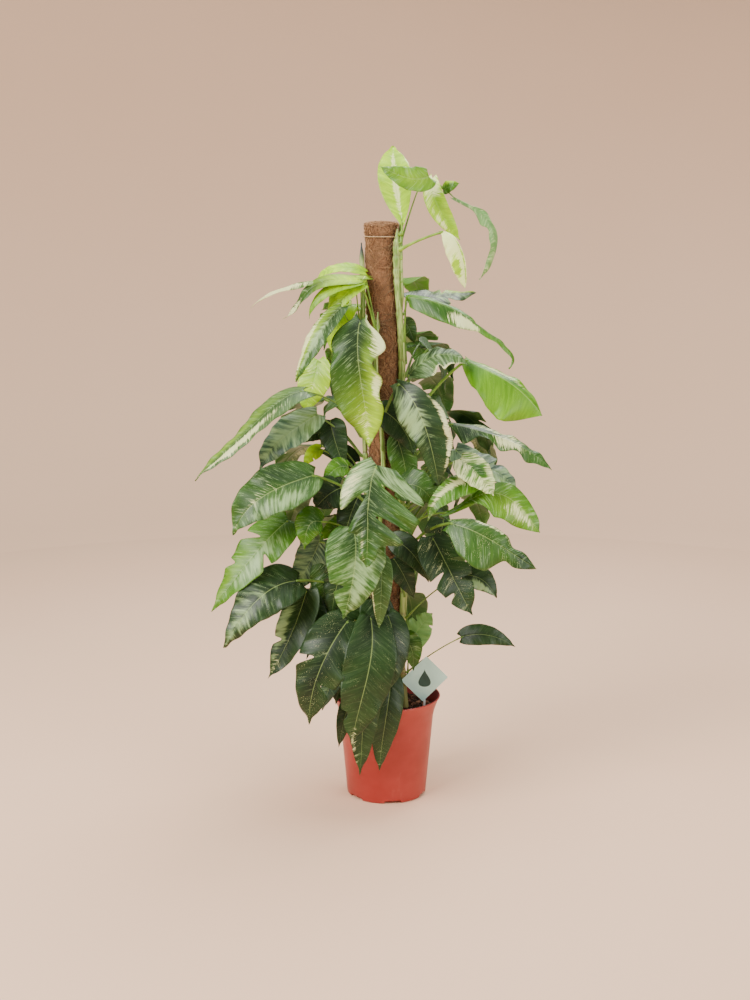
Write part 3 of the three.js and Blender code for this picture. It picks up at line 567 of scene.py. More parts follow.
def make_coir():
    """The sleeve is a round wall whose radius ripples, wider at the crown and drawn in at the binding, and
    closed over the top. The fibres are thin three-sided strands lying on it at random headings, each
    lifted off the wall in the middle."""
    rows, around = 260, 144
    start, crown = BURIED_FOOT, POLE_TOP[2] - CAP_LENGTH
    height = np.linspace(start, SHOULDER, rows)[:, None]
    angle = np.linspace(0.0, 2.0 * math.pi, around, endpoint=False)[None, :]
    arc = angle * SLEEVE_RADIUS
    bumps = ripple(height / 9.0, arc / 9.0, 14, 3) * 0.8 + ripple(height / 3.2, arc / 3.2, 14, 4) * 0.8
    bumps[:, -8:] += (bumps[:, :1] - bumps[:, -8:]) * np.linspace(0.1, 1.0, 8)
    pinch = 1.2 * np.exp(-(((height - crown + 2.0) / 2.5) ** 2))
    spread = CAP_SPREAD * smooth((height - crown) / 6.0) - pinch
    radius = SLEEVE_RADIUS - 1.6 + bumps + spread
    wall = round_pole(np.broadcast_to(angle, radius.shape), np.broadcast_to(height, radius.shape), radius)
    shares = np.array([0.985, 0.93, 0.84, 0.7, 0.5, 0.3, 0.12])[:, None]
    lid_bumps = ripple(shares * 12.0, arc / 3.0, 12, 5) * 1.6 * np.sqrt(shares)
    lid_angle = np.broadcast_to(angle, (7, around))
    lid_height = SHOULDER + LID_RISE * np.sqrt(1.0 - shares**2) + lid_bumps
    lid = round_pole(lid_angle, lid_height, shares * radius[-1:])
    shape = ringed(np.concatenate([wall, lid])[None])
    shade = 0.42 + 0.2 * ripple(shape[0][:, 2] / 14.0, shape[0][:, 0] / 8.0, 12, 6)
    felt = mesh_object("coir_felt", shape, values={"shade": shade})
    dark, light = (54, 30, 20), (150, 98, 68)
    add_piece(felt, coir_look("coir_felt", dark, light, 0.9), "coir", "coir_sleeve")

    count, steps = COIR_STRANDS, 7
    middle = rng.uniform(start + 12.0, POLE_TOP[2] - 6.0, count)
    centre = rng.uniform(0.0, 2.0 * math.pi, count)
    heading = rng.normal(0.0, 0.9, count)
    length = rng.uniform(18.0, 66.0, count)
    bend = rng.normal(0.0, 0.4, count)
    s = np.linspace(-0.5, 0.5, steps)[None, :]
    rise = (length * np.cos(heading))[:, None] * s + (bend * length * np.sin(heading))[:, None] * s**2 * 4.0
    swing = (length * np.sin(heading))[:, None] * s - (bend * length * np.cos(heading))[:, None] * s**2 * 4.0
    level = np.clip(middle[:, None] + rise, start, POLE_TOP[2] - 1.0)
    lift = rng.gamma(1.8, 0.7, count)[:, None] * np.cos(s * math.pi * 0.9)
    at_crown = CAP_SPREAD * smooth((level - crown) / 6.0)
    distance = np.minimum(SLEEVE_RADIUS - 1.2 + at_crown + lift, SLEEVE_RADIUS + 3.0 + at_crown)
    turn = centre[:, None] + swing / SLEEVE_RADIUS
    paths = round_pole(turn, level, distance)
    thick = rng.uniform(0.3, 0.8, count)[:, None] * np.array([0.6, 1.0, 1.0, 1.0, 1.0, 1.0, 0.5])
    strands = ringed(round_sections(paths, thick, 3, outward(turn)))
    shades = on_shells(rng.beta(1.6, 2.2, count), steps * 3)
    fibres = mesh_object("coir_fibres", strands, values={"shade": shades})
    add_piece(fibres, coir_look("coir_fibre", (84, 50, 34), (206, 156, 116), 0.2), "coir")


def make_crown_tuft():
    """Loose fibre ends over the pole's top: thin curved strands that lean out from it at random."""
    count, steps = CROWN_STRANDS, 5
    angle = rng.uniform(0.0, 2.0 * math.pi, count)
    radius = (SLEEVE_RADIUS + 1.0) * np.sqrt(rng.uniform(0.02, 1.0, count))
    heading = rng.uniform(0.0, 2.0 * math.pi, count)
    length = rng.uniform(5.0, 20.0, count)
    s = np.linspace(0.0, 1.0, steps)[None, :]
    dome = LID_RISE * np.sqrt(1.0 - (radius / (SLEEVE_RADIUS + 1.5)) ** 2)
    base = round_pole(angle, SHOULDER + dome, radius)
    lift = rng.uniform(0.5, 4.0, count)[:, None] * np.sin(s * math.pi * 0.8)
    paths = base[:, None] + outward(heading)[:, None] * (length[:, None] * s)[..., None] * 0.8
    paths[..., 2] += lift
    flat = paths[..., :2] - POLE_TOP[:2]
    distance = np.linalg.norm(flat, axis=-1)
    paths[..., :2] = POLE_TOP[:2] + flat * np.minimum(1.0, (SLEEVE_RADIUS + 2.5) / distance)[..., None]
    strands = ringed(round_sections(paths, np.full((count, steps), 0.45), 3, np.array([0.0, 0.0, 1.0])))
    shades = on_shells(rng.beta(1.8, 1.8, count), steps * 3)
    tuft = mesh_object("crown_fibres", strands, values={"shade": shades})
    add_piece(tuft, coir_look("crown_fibre", (96, 58, 40), (212, 162, 122), 0.2), "coir")


def make_binding():
    """Twine round the pole below its crown: two strands on a ring, each a helix about the other."""
    turns, steps = 46, 736
    angle = np.linspace(0.0, 2.0 * math.pi, steps, endpoint=False)
    height = np.full(steps, POLE_TOP[2] - CAP_LENGTH - 2.0)
    out = outward(angle)
    strands = []
    for phase in (0.0, math.pi):
        twist = turns * angle + phase
        radius = SLEEVE_RADIUS + 2.6 + 0.7 * np.cos(twist)
        path = round_pole(angle, height + 0.7 * np.sin(twist), radius)
        padded = np.concatenate([path[-1:], path, path[:1]])[None]
        away = np.concatenate([out[-1:], out, out[:1]])[None]
        strands.append(looped(round_sections(padded, 0.85, 8, away)[0, 1:-1]))
    add_piece(mesh_object("binding_twine", joined(strands)), twine_look(), "twine", "top_binding")


# Pot


def pot_outer_radius(height):
    """Straight taper up to the waist, then a flare that steepens towards the rim."""
    height = np.asarray(height, float)
    lower = POT_FOOT_RADIUS + (POT_WAIST_RADIUS - POT_FOOT_RADIUS) * height / POT_WAIST_HEIGHT
    share = np.clip((height - POT_WAIST_HEIGHT) / (POT_HEIGHT - POT_WAIST_HEIGHT), 0.0, 1.0)
    upper = POT_WAIST_RADIUS + (POT_RIM_RADIUS - POT_WAIST_RADIUS) * share * (0.6 + 0.4 * share)
    return np.where(height <= POT_WAIST_HEIGHT, lower, upper)


def make_pot():
    """A turned wall: its outline goes out under the foot, up the outside, over a rolled lip and down the
    inside to the floor, and is carried round the axis. The foot ring lifts by the notch height within
    each notch. The drain holes are cut through the floor."""
    around = 288
    corner = np.linspace(0.0, 0.5 * math.pi, 6)
    ring_inner = POT_FOOT_RADIUS - FOOT_RING_WIDTH
    pad = CENTRE_PAD_RADIUS
    foot = [(2.0, 0.0), (pad - 1.0, 0.0), (pad, 1.0), (pad + 1.5, 7.4), (pad + 2.5, FOOT_HEIGHT),
            (50.0, FOOT_HEIGHT), (ring_inner - 2.5, FOOT_HEIGHT), (ring_inner - 1.5, 7.4),
            (ring_inner, 1.0), (ring_inner + 1.0, 0.0), (POT_FOOT_RADIUS - 10.0, 0.0)]
    foot += [(POT_FOOT_RADIUS - 4.0 + 4.3 * math.sin(a), 4.0 - 4.0 * math.cos(a)) for a in corner]
    wall_heights = np.concatenate([np.arange(8.0, 184.0, 8.0), np.arange(186.0, 214.0, 4.0)])
    wall = [(float(pot_outer_radius(h)), float(h)) for h in wall_heights]
    band = [(float(pot_outer_radius(h)) + 0.5, float(h)) for h in (214.5, 218.0, 223.0, 228.0, 231.0)]
    lip_turn = np.linspace(-0.2 * math.pi, 0.9 * math.pi, 9)
    lip = [(POT_RIM_RADIUS - 0.9 + 1.8 * math.cos(a), POT_HEIGHT - 1.9 + 1.8 * math.sin(a))
           for a in lip_turn]
    inner_heights = np.concatenate([np.arange(230.0, 190.0, -5.0), np.arange(188.0, 16.0, -12.0)])
    inner = [(float(pot_outer_radius(h)) - POT_WALL, float(h)) for h in inner_heights]
    floor = [(float(pot_outer_radius(12.0)) - POT_WALL - 2.0, FLOOR_TOP), (60.0, FLOOR_TOP),
             (2.0, FLOOR_TOP)]
    profile = np.array(foot + wall + band + lip + inner + floor)
    angle = np.linspace(0.0, 2.0 * math.pi, around, endpoint=False)
    radius = np.broadcast_to(profile[:, :1], (len(profile), around))
    height = np.repeat(profile[:, 1:], around, axis=1)
    spacing = 2.0 * math.pi / FOOT_NOTCHES
    from_notch = (angle - math.radians(FIRST_NOTCH_DEG) + spacing / 2.0) % spacing - spacing / 2.0
    inside = NOTCH_WIDTH / 2.0 - np.abs(from_notch) * POT_FOOT_RADIUS
    lifted = NOTCH_HEIGHT * smooth(inside / 3.0 + 0.5)[None, :]
    across, up = profile.T
    in_ring = (across > ring_inner - 1.0) & (across < POT_FOOT_RADIUS + 1.5) & (up < FOOT_HEIGHT)
    height = np.where(in_ring[:, None], np.maximum(height, lifted), height)
    rings = np.stack([radius * np.cos(angle), radius * np.sin(angle), height], axis=-1)
    pot = mesh_object("pot_body", ringed(rings[None]))
    turn = np.linspace(0.0, 2.0 * math.pi, 32, endpoint=False)
    drill = outward(turn) * DRAIN_HOLE_RADIUS
    drills = []
    for index in range(FOOT_NOTCHES):
        at = math.radians(FIRST_NOTCH_DEG) + spacing * (index + 0.5)
        place = np.array([DRAIN_HOLE_RING * math.cos(at), DRAIN_HOLE_RING * math.sin(at), 0.0])
        drills.append(np.stack([drill + place + [0.0, 0.0, h] for h in (4.0, 16.0)]))
    carve(pot, mesh_object("drills", ringed(np.stack(drills))))
    smooth_by_angle(pot, 35.0)
    add_piece(pot, pot_look(), "pot", "pot")


def smooth_by_angle(made, degrees):
    """Smooth shading except over edges sharper than the angle."""
    mesh = made.data
    mesh.polygons.foreach_set("use_smooth", np.ones(len(mesh.polygons), bool))
    mesh.set_sharp_from_angle(angle=math.radians(degrees))


# Growing mix


def soil_height(x, y):
    """Highest at the middle, and falling slowly towards the wall."""
    distance = np.hypot(x, y)
    share = np.clip(distance / 112.0, 0.0, 1.0)
    return SOIL_CROWN_HEIGHT - (SOIL_CROWN_HEIGHT - SOIL_EDGE_HEIGHT) * share**2


def make_soil():
    """A round bed whose top ripples at three scales, closed below. Crumbs are lumpy balls and chips are
    flat bevelled blocks with uneven corners, both set into the top at random."""
    around, rows = 240, 74
    angle = np.linspace(0.0, 2.0 * math.pi, around, endpoint=False)[None, :]
    edge = float(pot_outer_radius(SOIL_EDGE_HEIGHT)) - POT_WALL - 0.4
    radius = np.linspace(edge, 1.0, rows)[:, None]
    x, y = radius * np.cos(angle), radius * np.sin(angle)
    z = soil_height(x, y) - 1.5 + 1.5 * ripple(x / 16.0, y / 16.0, 12, 11)
    z += 0.8 * ripple(x / 5.0, y / 5.0, 14, 12) + 0.5 * ripple(x / 2.2, y / 2.2, 16, 13)
    top = np.stack([x, y, z], axis=-1)
    deep = [(95.0, 60.0), (float(pot_outer_radius(180.0)) - POT_WALL - 0.6, 180.0)]
    sides = np.stack([
        np.stack([r * np.cos(angle[0]), r * np.sin(angle[0]), np.full(around, h)], axis=-1) for r, h in deep
    ])
    bed = mesh_object("mix_bed", ringed(np.concatenate([sides, top])[None]))
    look = soil_look()
    add_piece(bed, look, "soil", "soil")

    count = CRUMBS
    place, size = scattered(count, 1.2, 3.6)
    turn = np.linspace(0.0, 2.0 * math.pi, 7, endpoint=False)
    level = np.array([-0.8, -0.3, 0.3, 0.8])
    wide = np.sqrt(1.0 - level**2)
    ball = np.stack([
        wide[:, None] * np.cos(turn), wide[:, None] * np.sin(turn), np.repeat(level[:, None], 7, 1)
    ], axis=-1)
    lumps = ball[None] * rng.uniform(0.7, 1.25, (count, 4, 7, 1)) * size[:, None, None, None]
    crumbs = mesh_object("mix_crumbs", ringed(lumps + place[:, None, None]))
    add_piece(crumbs, look, "soil")

    count = CHIPS
    place, size = scattered(count, 3.5, 9.0)
    corners = np.array([[-1.0, -0.8], [0.7, -1.0], [1.0, 0.1], [0.6, 0.9], [-0.8, 0.8], [-1.1, 0.0]])
    outline = corners[None] * rng.uniform(0.65, 1.2, (count, 6, 2)) * size[:, None, None]
    outline[..., 1] *= 0.6
    spin = rng.uniform(0.0, 2.0 * math.pi, (count, 1))
    tilt = rng.normal(0.0, 0.35, (count, 2))
    thick = rng.uniform(1.0, 2.6, count)
    flat_x = outline[..., 0] * np.cos(spin) - outline[..., 1] * np.sin(spin)
    flat_y = outline[..., 0] * np.sin(spin) + outline[..., 1] * np.cos(spin)
    layers = []
    for inset, rise in ((0.82, -1.0), (1.0, -0.5), (1.0, 0.5), (0.8, 1.0)):
        lx, ly = flat_x * inset, flat_y * inset
        lz = rise * thick[:, None] + lx * tilt[:, :1] + ly * tilt[:, 1:]
        layers.append(np.stack([lx, ly, lz], axis=-1))
    chips = np.stack(layers, axis=1) + place[:, None, None]
    shades = on_shells(rng.beta(1.4, 1.6, count), 4 * 6)
    made = mesh_object("bark_chips", ringed(chips), values={"shade": shades}, smooth_faces=False)
    add_piece(made, bark_look(), "soil")


def scattered(count, smallest, largest):
    """Random places on the mix, clear of the pole and the wall, and a size for each."""
    angle = rng.uniform(0.0, 2.0 * math.pi, count)
    distance = np.sqrt(rng.uniform(42.0**2, 103.0**2, count))
    x, y = distance * np.cos(angle), distance * np.sin(angle)
    size = smallest + (largest - smallest) * rng.beta(1.3, 2.6, count)
    return np.stack([x, y, soil_height(x, y) - 1.0 + 0.2 * size], axis=-1), size


# Vines


def vine_angle(name, height):
    degrees, _, _ = VINES[name]
    return np.radians(degrees + VINE_WANDER_DEG * np.sin(np.asarray(height, float) / VINE_WAVE + degrees))


def vine_centre(name, height):
    """A vine's centre: beside the pole at an angle that sways as it climbs."""
    stand = SLEEVE_RADIUS + CAP_SPREAD + VINES[name][2] + 1.0
    angle = vine_angle(name, height)
    return round_pole(angle, height, np.full(np.shape(angle), stand))


def make_vine(name, nodes):
    """A stem along its vine's centre: it swells at each node and has a scar ring just above, carries soft
    lengthwise ridges, and narrows to a point at its tip. Leaf sheaths lie along it: each is a round
    section beside the stem's centre, full in the middle and narrow at its ends."""
    _, top, radius = VINES[name]
    count, sides = int((top - BURIED_FOOT) / 3.0), 20
    height = np.linspace(BURIED_FOOT, top, count)
    path = vine_centre(name, height)
    angle = vine_angle(name, height)
    out = outward(angle)
    size = np.full(count, radius * 0.9)
    bark = 0.75 * smooth((620.0 - height) / 420.0)
    for node in nodes:
        size += radius * 0.13 * np.exp(-(((height - node) / 6.0) ** 2))
        size -= radius * 0.06 * np.exp(-(((height - node - 9.0) / 2.5) ** 2))
        bark += 0.5 * np.exp(-(((height - node - 8.0) / 2.0) ** 2))
    size *= 0.25 + 0.75 * smooth((top - height) / 36.0)
    rings = round_sections(path[None], size[None], sides, out[None])
    turn = np.linspace(0.0, 2.0 * math.pi, sides, endpoint=False)
    ridge = 1.0 + 0.06 * np.cos(4.0 * turn[None] + height[:, None] / 45.0)
    rings = path[None, :, None] + (rings - path[None, :, None]) * ridge[None, :, :, None]
    tip = smooth((height - top + 52.0) / 40.0) * (name == "left")
    parts = [ringed(rings)]
    values = {key: [np.repeat(numbers, sides), numbers[:1], numbers[-1:]]
              for key, numbers in (("bark", bark), ("tip", tip))}
    for low, high, aside, thick in SHEATHS.get(name, ()):
        height = np.linspace(low, high, SHEATH_ROWS)
        turned = vine_angle(name, height) + math.radians(aside)
        out = outward(turned)
        share = np.linspace(0.0, 1.0, SHEATH_ROWS)
        size = thick * (0.3 + 0.7 * smooth(share * 5.0) * smooth((1.0 - share) * 8.0))
        path = vine_centre(name, height) + out * (0.8 * radius + 0.6 * size)[:, None]
        parts.append(ringed(round_sections(path[None], size[None], SHEATH_SIDES, out[None])))
        for numbers in values.values():
            numbers.append(np.zeros(SHEATH_ROWS * SHEATH_SIDES + 2))
    values = {key: np.concatenate(numbers) for key, numbers in values.items()}
    stem = mesh_object(f"stem_{name}", joined(parts), values=values)
    add_piece(stem, VINE_LOOK, "vine", f"vine_{name}")


def make_aerial_roots(nodes_by_vine):
    """Rootlets that leave each node and cross the coir, turning round the pole as they drop a little."""
    starts, levels, ways = [], [], []
    for name, nodes in nodes_by_vine.items():
        for node in nodes:
            for _ in range(5):
                level = node + rng.normal(-4.0, 9.0)
                starts.append(float(vine_angle(name, level)))
                levels.append(level)
                ways.append(rng.choice([-1.0, 1.0]) * rng.uniform(0.35, 1.1))
    count, steps = len(starts), 14
    s = np.linspace(0.0, 1.0, steps)[None, :]
    sway = rng.normal(0.0, 4.0, (count, 1)) * np.sin(s * 7.0 + rng.uniform(0.0, 6.0, (count, 1)))
    height = np.array(levels)[:, None] - rng.uniform(0.0, 34.0, (count, 1)) * s + sway * s
    angle = np.array(starts)[:, None] + np.array(ways)[:, None] * s
    off = 8.0 * np.exp(-s / 0.12) + 0.7 + 0.9 * np.sin(s * 9.0 + rng.uniform(0.0, 6.0, (count, 1))) ** 2
    height = np.minimum(height, POLE_TOP[2] - 8.0)
    paths = round_pole(angle, height, SLEEVE_RADIUS + off)
    thick = rng.uniform(0.8, 1.5, (count, 1)) * (1.0 - 0.65 * s)
    roots = mesh_object("aerial_roots", ringed(round_sections(paths, thick, 7, outward(angle))))
    add_piece(roots, root_look(), "vine")


# Leaves


def midrib(stations, face):
    """The midrib as the polynomial through its stations. Three stations stand at 0, one half and 1, and
    more stand at their share of the length. The upper face's direction keeps its share along the normal of
    the plane that the midrib bends in, and turns with the curve in that plane."""
    stations = np.array(stations, float)
    spans = np.linalg.norm(np.diff(stations, axis=0), axis=-1)
    at = np.concatenate([[0.0], np.cumsum(spans)]) / spans.sum()
    if len(stations) == 3:
        at = np.array([0.0, 0.5, 1.0])
    powers = np.arange(len(stations))
    factors = np.linalg.solve(at[:, None] ** powers, stations)

    def point(t):
        return (np.asarray(t, float)[..., None] ** powers) @ factors

    def tangent(t):
        t = np.asarray(t, float)[..., None]
        return unit((powers[1:] * t ** (powers[1:] - 1)) @ factors[1:])

    level = unit(np.cross(tangent(0.0), tangent(1.0)))
    towards = np.array(face, float)
    sideways = towards @ level
    in_plane = towards @ np.cross(level, tangent(0.5))

    def normal(t):
        along = tangent(t)
        upright = np.cross(level, along) * in_plane + level * sideways
        return unit(upright - (upright * along).sum(-1, keepdims=True) * along)

    return point, tangent, normal


def drawn_edge(place, edge):
    """Half the blade's width at a place, from listed places and widths, with soft corners: each width is the
    mean of five readings a little apart."""
    places, widths = zip(*edge)
    nudges = (-0.04, -0.02, 0.0, 0.02, 0.04)
    rounded = sum(np.interp(place + nudge, places, widths) for nudge in nudges) / len(nudges)
    exact = np.interp(place, places, widths)
    return np.where(place > places[-1] - 0.04, np.minimum(rounded, exact), rounded)


def outline(place, full, taper):
    """Half the blade's width as a share of its widest: share^full (1 - share)^taper over its peak."""
    span = 1.0 + BASAL_LOBE + EDGE_MARGIN
    share = np.clip((place + BASAL_LOBE + EDGE_MARGIN) / span, 0.0, 1.0)
    widest = full / (full + taper)
    return share**full * (1.0 - share) ** taper / (widest**full * (1.0 - widest) ** taper)


def vein_end(place, sweep):
    """Where a side vein that leaves the midrib at a place meets the edge: it leans towards the tip, and
    at the base it runs back into the basal lobe."""
    lean = (1.0 - place) * sweep * (1.0 - np.exp(-place / 0.08))
    return place + lean - BASAL_LOBE * np.exp(-place / 0.06)


def kept(place, cuts):
    """The share of its width that a blade keeps at a place: 1, less a rounded dip at each cut."""
    share = np.ones_like(place)
    for at, depth, *reach in cuts:
        half = reach[0] if reach else CUT_HALF_WIDTH
        share = share * (1.0 - depth * smooth(1.0 - np.abs(place - at) / (1.15 * half)))
    return share


def stalk_shell(vine, node, knee, rise, bend, thickness):
    """A round section on a quadratic curve from the vine's node to the blade's base, thick at its sheath
    and again at the knee below the blade. bend is the curve's own control point, where it has one."""
    centre = vine_centre(vine, node)
    angle = float(vine_angle(vine, node))
    flat = knee - centre
    flat[2] = 0.0
    away = unit(unit(flat) + np.array([math.cos(angle), math.sin(angle), 0.0]))
    radius = VINES[vine][2]
    foot = centre + away * (radius + 3.3)
    root = centre + away * radius * 0.4 - np.array([0.0, 0.0, 2.0])
    over = 0.5 * (foot + knee) + np.array([0.0, 0.0, rise * np.linalg.norm(foot - knee)])
    over = over if bend is None else np.array(bend, float)
    s = np.linspace(0.0, 1.0, STALK_STEPS)[:, None]
    route = (1.0 - s) ** 2 * foot + 2.0 * s * (1.0 - s) * over + s * s * knee
    route = np.concatenate([root[None], 0.5 * (root + foot)[None], route])
    s = np.concatenate([[-0.04, -0.02], s[:, 0]])
    sheath = 2.3 * np.exp(-np.clip(s, 0, 1) / 0.14)
    size = thickness * (2.5 + sheath + 0.9 * np.exp(-(((s - 0.93) / 0.035) ** 2)))
    away = unit(np.cross(knee - foot, [0.1, 0.2, 1.0]))
    return ringed(round_sections(route[None], size[None], STALK_SIDES, away))


def make_leaf(name, vine, node, stations, width, face, tone, cream=0.0, silver=0.0, specks=0.3,
              marks=(), fold=0.0, port_fold=None, starboard_fold=None, full=0.5, taper=0.92,
              sweep=VEIN_SWEEP, port=(), starboard=(), starboard_share=1.0, port_edge=None,
              starboard_edge=None, rise=STALK_RISE, bend=None, stalk_width=1.0, quilt=1.0, waves=1.0):
    """A blade with its stalk. Starboard is the half of positive reach, port the other. Rows of the blade
    run out along the side veins: a point stands reach times the kept half-width from the midrib, at the
    vein's place plus its lean times reach^1.4, dropped by its half's fold. The half-width is the outline
    times width, or a drawn edge. The lamina bulges between the veins by quilt, its margin waves,
    and its midrib is a groove above and a ridge below. marks are soft spots that raise cream or silver,
    or pull the tone to dark or lime: kind, place, reach, their two spreads and strength."""
    seed = sum(map(ord, name)) * 7 + int(node)
    source = np.random.default_rng(seed)
    point, tangent, normal = midrib(stations, face)
    rows, half_columns = FRAME_LEAF_GRID if name[:2].isdigit() else EXTRA_LEAF_GRID
    place = np.linspace(0.0, 1.0, rows)[:, None]
    spacing = np.linspace(-1.0, 1.0, 2 * half_columns + 1)
    reach = (np.sign(spacing) * np.abs(spacing) ** 1.2)[None, :]
    end = vein_end(place, sweep)
    length = np.linalg.norm(np.diff(point(np.linspace(0.0, 1.0, 9)), axis=0), axis=-1).sum()
    cut = np.where(reach > 0.0, kept(place, starboard), kept(place, port))
    ragged = 1.0 + 0.02 * ripple(place * 30.0, reach, 6, seed + 1)
    share = np.where(reach > 0.0, starboard_share, 1.0)
    going = np.abs(reach) * cut
    along = place + (end - place) * going**1.4
    drawn_out = 1.0 - 0.4 * np.exp(-(((place - 0.94) / 0.05) ** 2))
    half = 0.5 * width * share * outline(end, full, taper) * drawn_out
    if port_edge:
        half = np.where(reach > 0.0, half, drawn_edge(end, port_edge))
    if starboard_edge:
        half = np.where(reach > 0.0, drawn_edge(end, starboard_edge), half)
    half = half * ragged
    out = np.maximum(np.abs(reach) * 0.25, going * half)
    scale = width / 100.0
    folds = (fold if port_fold is None else port_fold, fold if starboard_fold is None else starboard_fold)
    tilt = np.radians(np.where(reach > 0.0, folds[1], folds[0]))
    rib = along - SIDE_LEAN * out / length * (1.0 - 0.4 * along)
    rib = rib + 0.012 * np.sin(23.0 * rib + seed)
    bulge = np.abs(np.sin(math.pi * SIDE_VEINS * rib)) ** 0.7
    bulge = bulge * np.sin(math.pi * np.clip(going, 0.0, 1.0) ** 0.8)
    phase = source.uniform(0.0, 2.0 * math.pi, (2, 2))
    pace = source.uniform(1.6, 3.2, 2)
    wave = sum(np.sin(2.0 * math.pi * pace[i] * (1.0 + i) * place + np.where(reach > 0.0, *phase[i]))
               / (1.0 + i) for i in range(2))
    curl = np.where(reach > 0.0, *source.uniform(-3.0, 5.0, 2))
    groove = np.exp(-((reach / 0.05) ** 2)) * (1.0 - 0.7 * place)
    height = -out * np.sin(tilt) * (0.75 + 0.25 * np.abs(reach))
    height = height + scale * quilt * source.uniform(0.2, 0.65) * bulge - 0.6 * groove
    height = height + scale * waves * 3.4 * wave * going**2 * smooth(place * 6.0)
    height = height - scale * curl * going**3 * smooth(place * 5.0)
    n = normal(np.clip(along, 0.0, 1.0))
    side = np.cross(tangent(along), n)
    spot = point(along) + side * (np.sign(reach) * out * np.cos(tilt))[..., None] + n * height[..., None]
    thick = LEAF_THICKNESS * (1.0 - 0.5 * np.abs(reach) ** 6) + 1.0 * groove
    blade = slab(spot + n * 0.3 * LEAF_THICKNESS, spot + n * (0.3 * LEAF_THICKNESS - thick)[..., None])

    stalk_scale = np.clip(scale, 0.55, 1.25) * stalk_width
    stalk = stalk_shell(vine, node, point(0.03), rise, bend, stalk_scale)

    def spread(values):
        flat_values = np.broadcast_to(values, (rows, reach.shape[1])).ravel()
        return np.concatenate([flat_values, flat_values])

    fresh, deep = (linear(colour) for colour in TONES[tone])
    levels = {"cream": np.full(cut.shape, cream), "silver": np.full(cut.shape, silver)}
    levels["dark"] = 0.25 + 0.5 * np.exp(-((reach / 0.35) ** 2)) * (1.0 - place) + 0.0 * cut
    levels["lime"] = np.zeros(cut.shape)
    for kind, at, out_at, spread_place, spread_reach, strength in marks:
        spot_here = np.exp(-(((place - at) / spread_place) ** 2) - (((reach - out_at) / spread_reach) ** 2))
        levels[kind] = levels[kind] + strength * spot_here
    clouds = 0.25 * ripple(place * 9.0, reach * 3.0, 6, seed + 2)
    shade = np.clip(levels["dark"] + clouds, 0.0, 1.4)[..., None]
    colour = fresh + (deep - fresh) * np.minimum(shade, 1.0)
    colour = colour * (1.0 - 0.8 * np.clip(shade - 1.0, 0.0, 0.4))
    lime = np.clip(levels["lime"], 0.0, 1.0)[..., None]
    colour = colour + (linear(TONES["lime"][0]) - colour) * lime
    colour = colour.reshape(-1, 3)
    on_stalk = len(stalk[0])
    stalk_tone = linear(STALK_TONE) * 0.75 + 0.25 * fresh
    stalk_shade = 0.85 + 0.15 * np.sin(np.arange(on_stalk) * 0.7)[:, None]
    colours = np.concatenate([colour, colour, stalk_tone * stalk_shade])
    under = np.concatenate([np.zeros(cut.size), np.ones(cut.size), np.zeros(on_stalk)])
    shift = (seed * 0.137) % 3.0
    off_midrib = np.sign(reach) * out * MM
    uv_blade = np.stack([spread(rib * length * MM + shift), spread(off_midrib + shift * 2.0)], axis=-1)
    uv_stalk = np.stack([np.full(on_stalk, shift), stalk[0][:, 2] * MM], axis=-1)
    plain = np.zeros(on_stalk)
    values = {
        "rib": np.concatenate([spread(rib * SIDE_VEINS), plain + 0.5]),
        "reach": np.concatenate([spread(reach), plain + 0.5]),
        "cream": np.concatenate([spread(levels["cream"]), plain - 1.0]),
        "silver": np.concatenate([spread(levels["silver"]), plain - 1.0]),
        "specks": np.concatenate([spread(specks), plain]),
        "marbling": np.concatenate([spread(MARBLING[tone]), plain]),
        "under": under,
    }
    uv = np.concatenate([uv_blade, uv_stalk])
    made = mesh_object(f"blade_{name}", joined([blade, stalk]), values, {"tone": colours}, uv)
    add_piece(made, LEAF_LOOK, "leaf", *([f"leaf_{name[:2]}"] if name[:2].isdigit() else []))


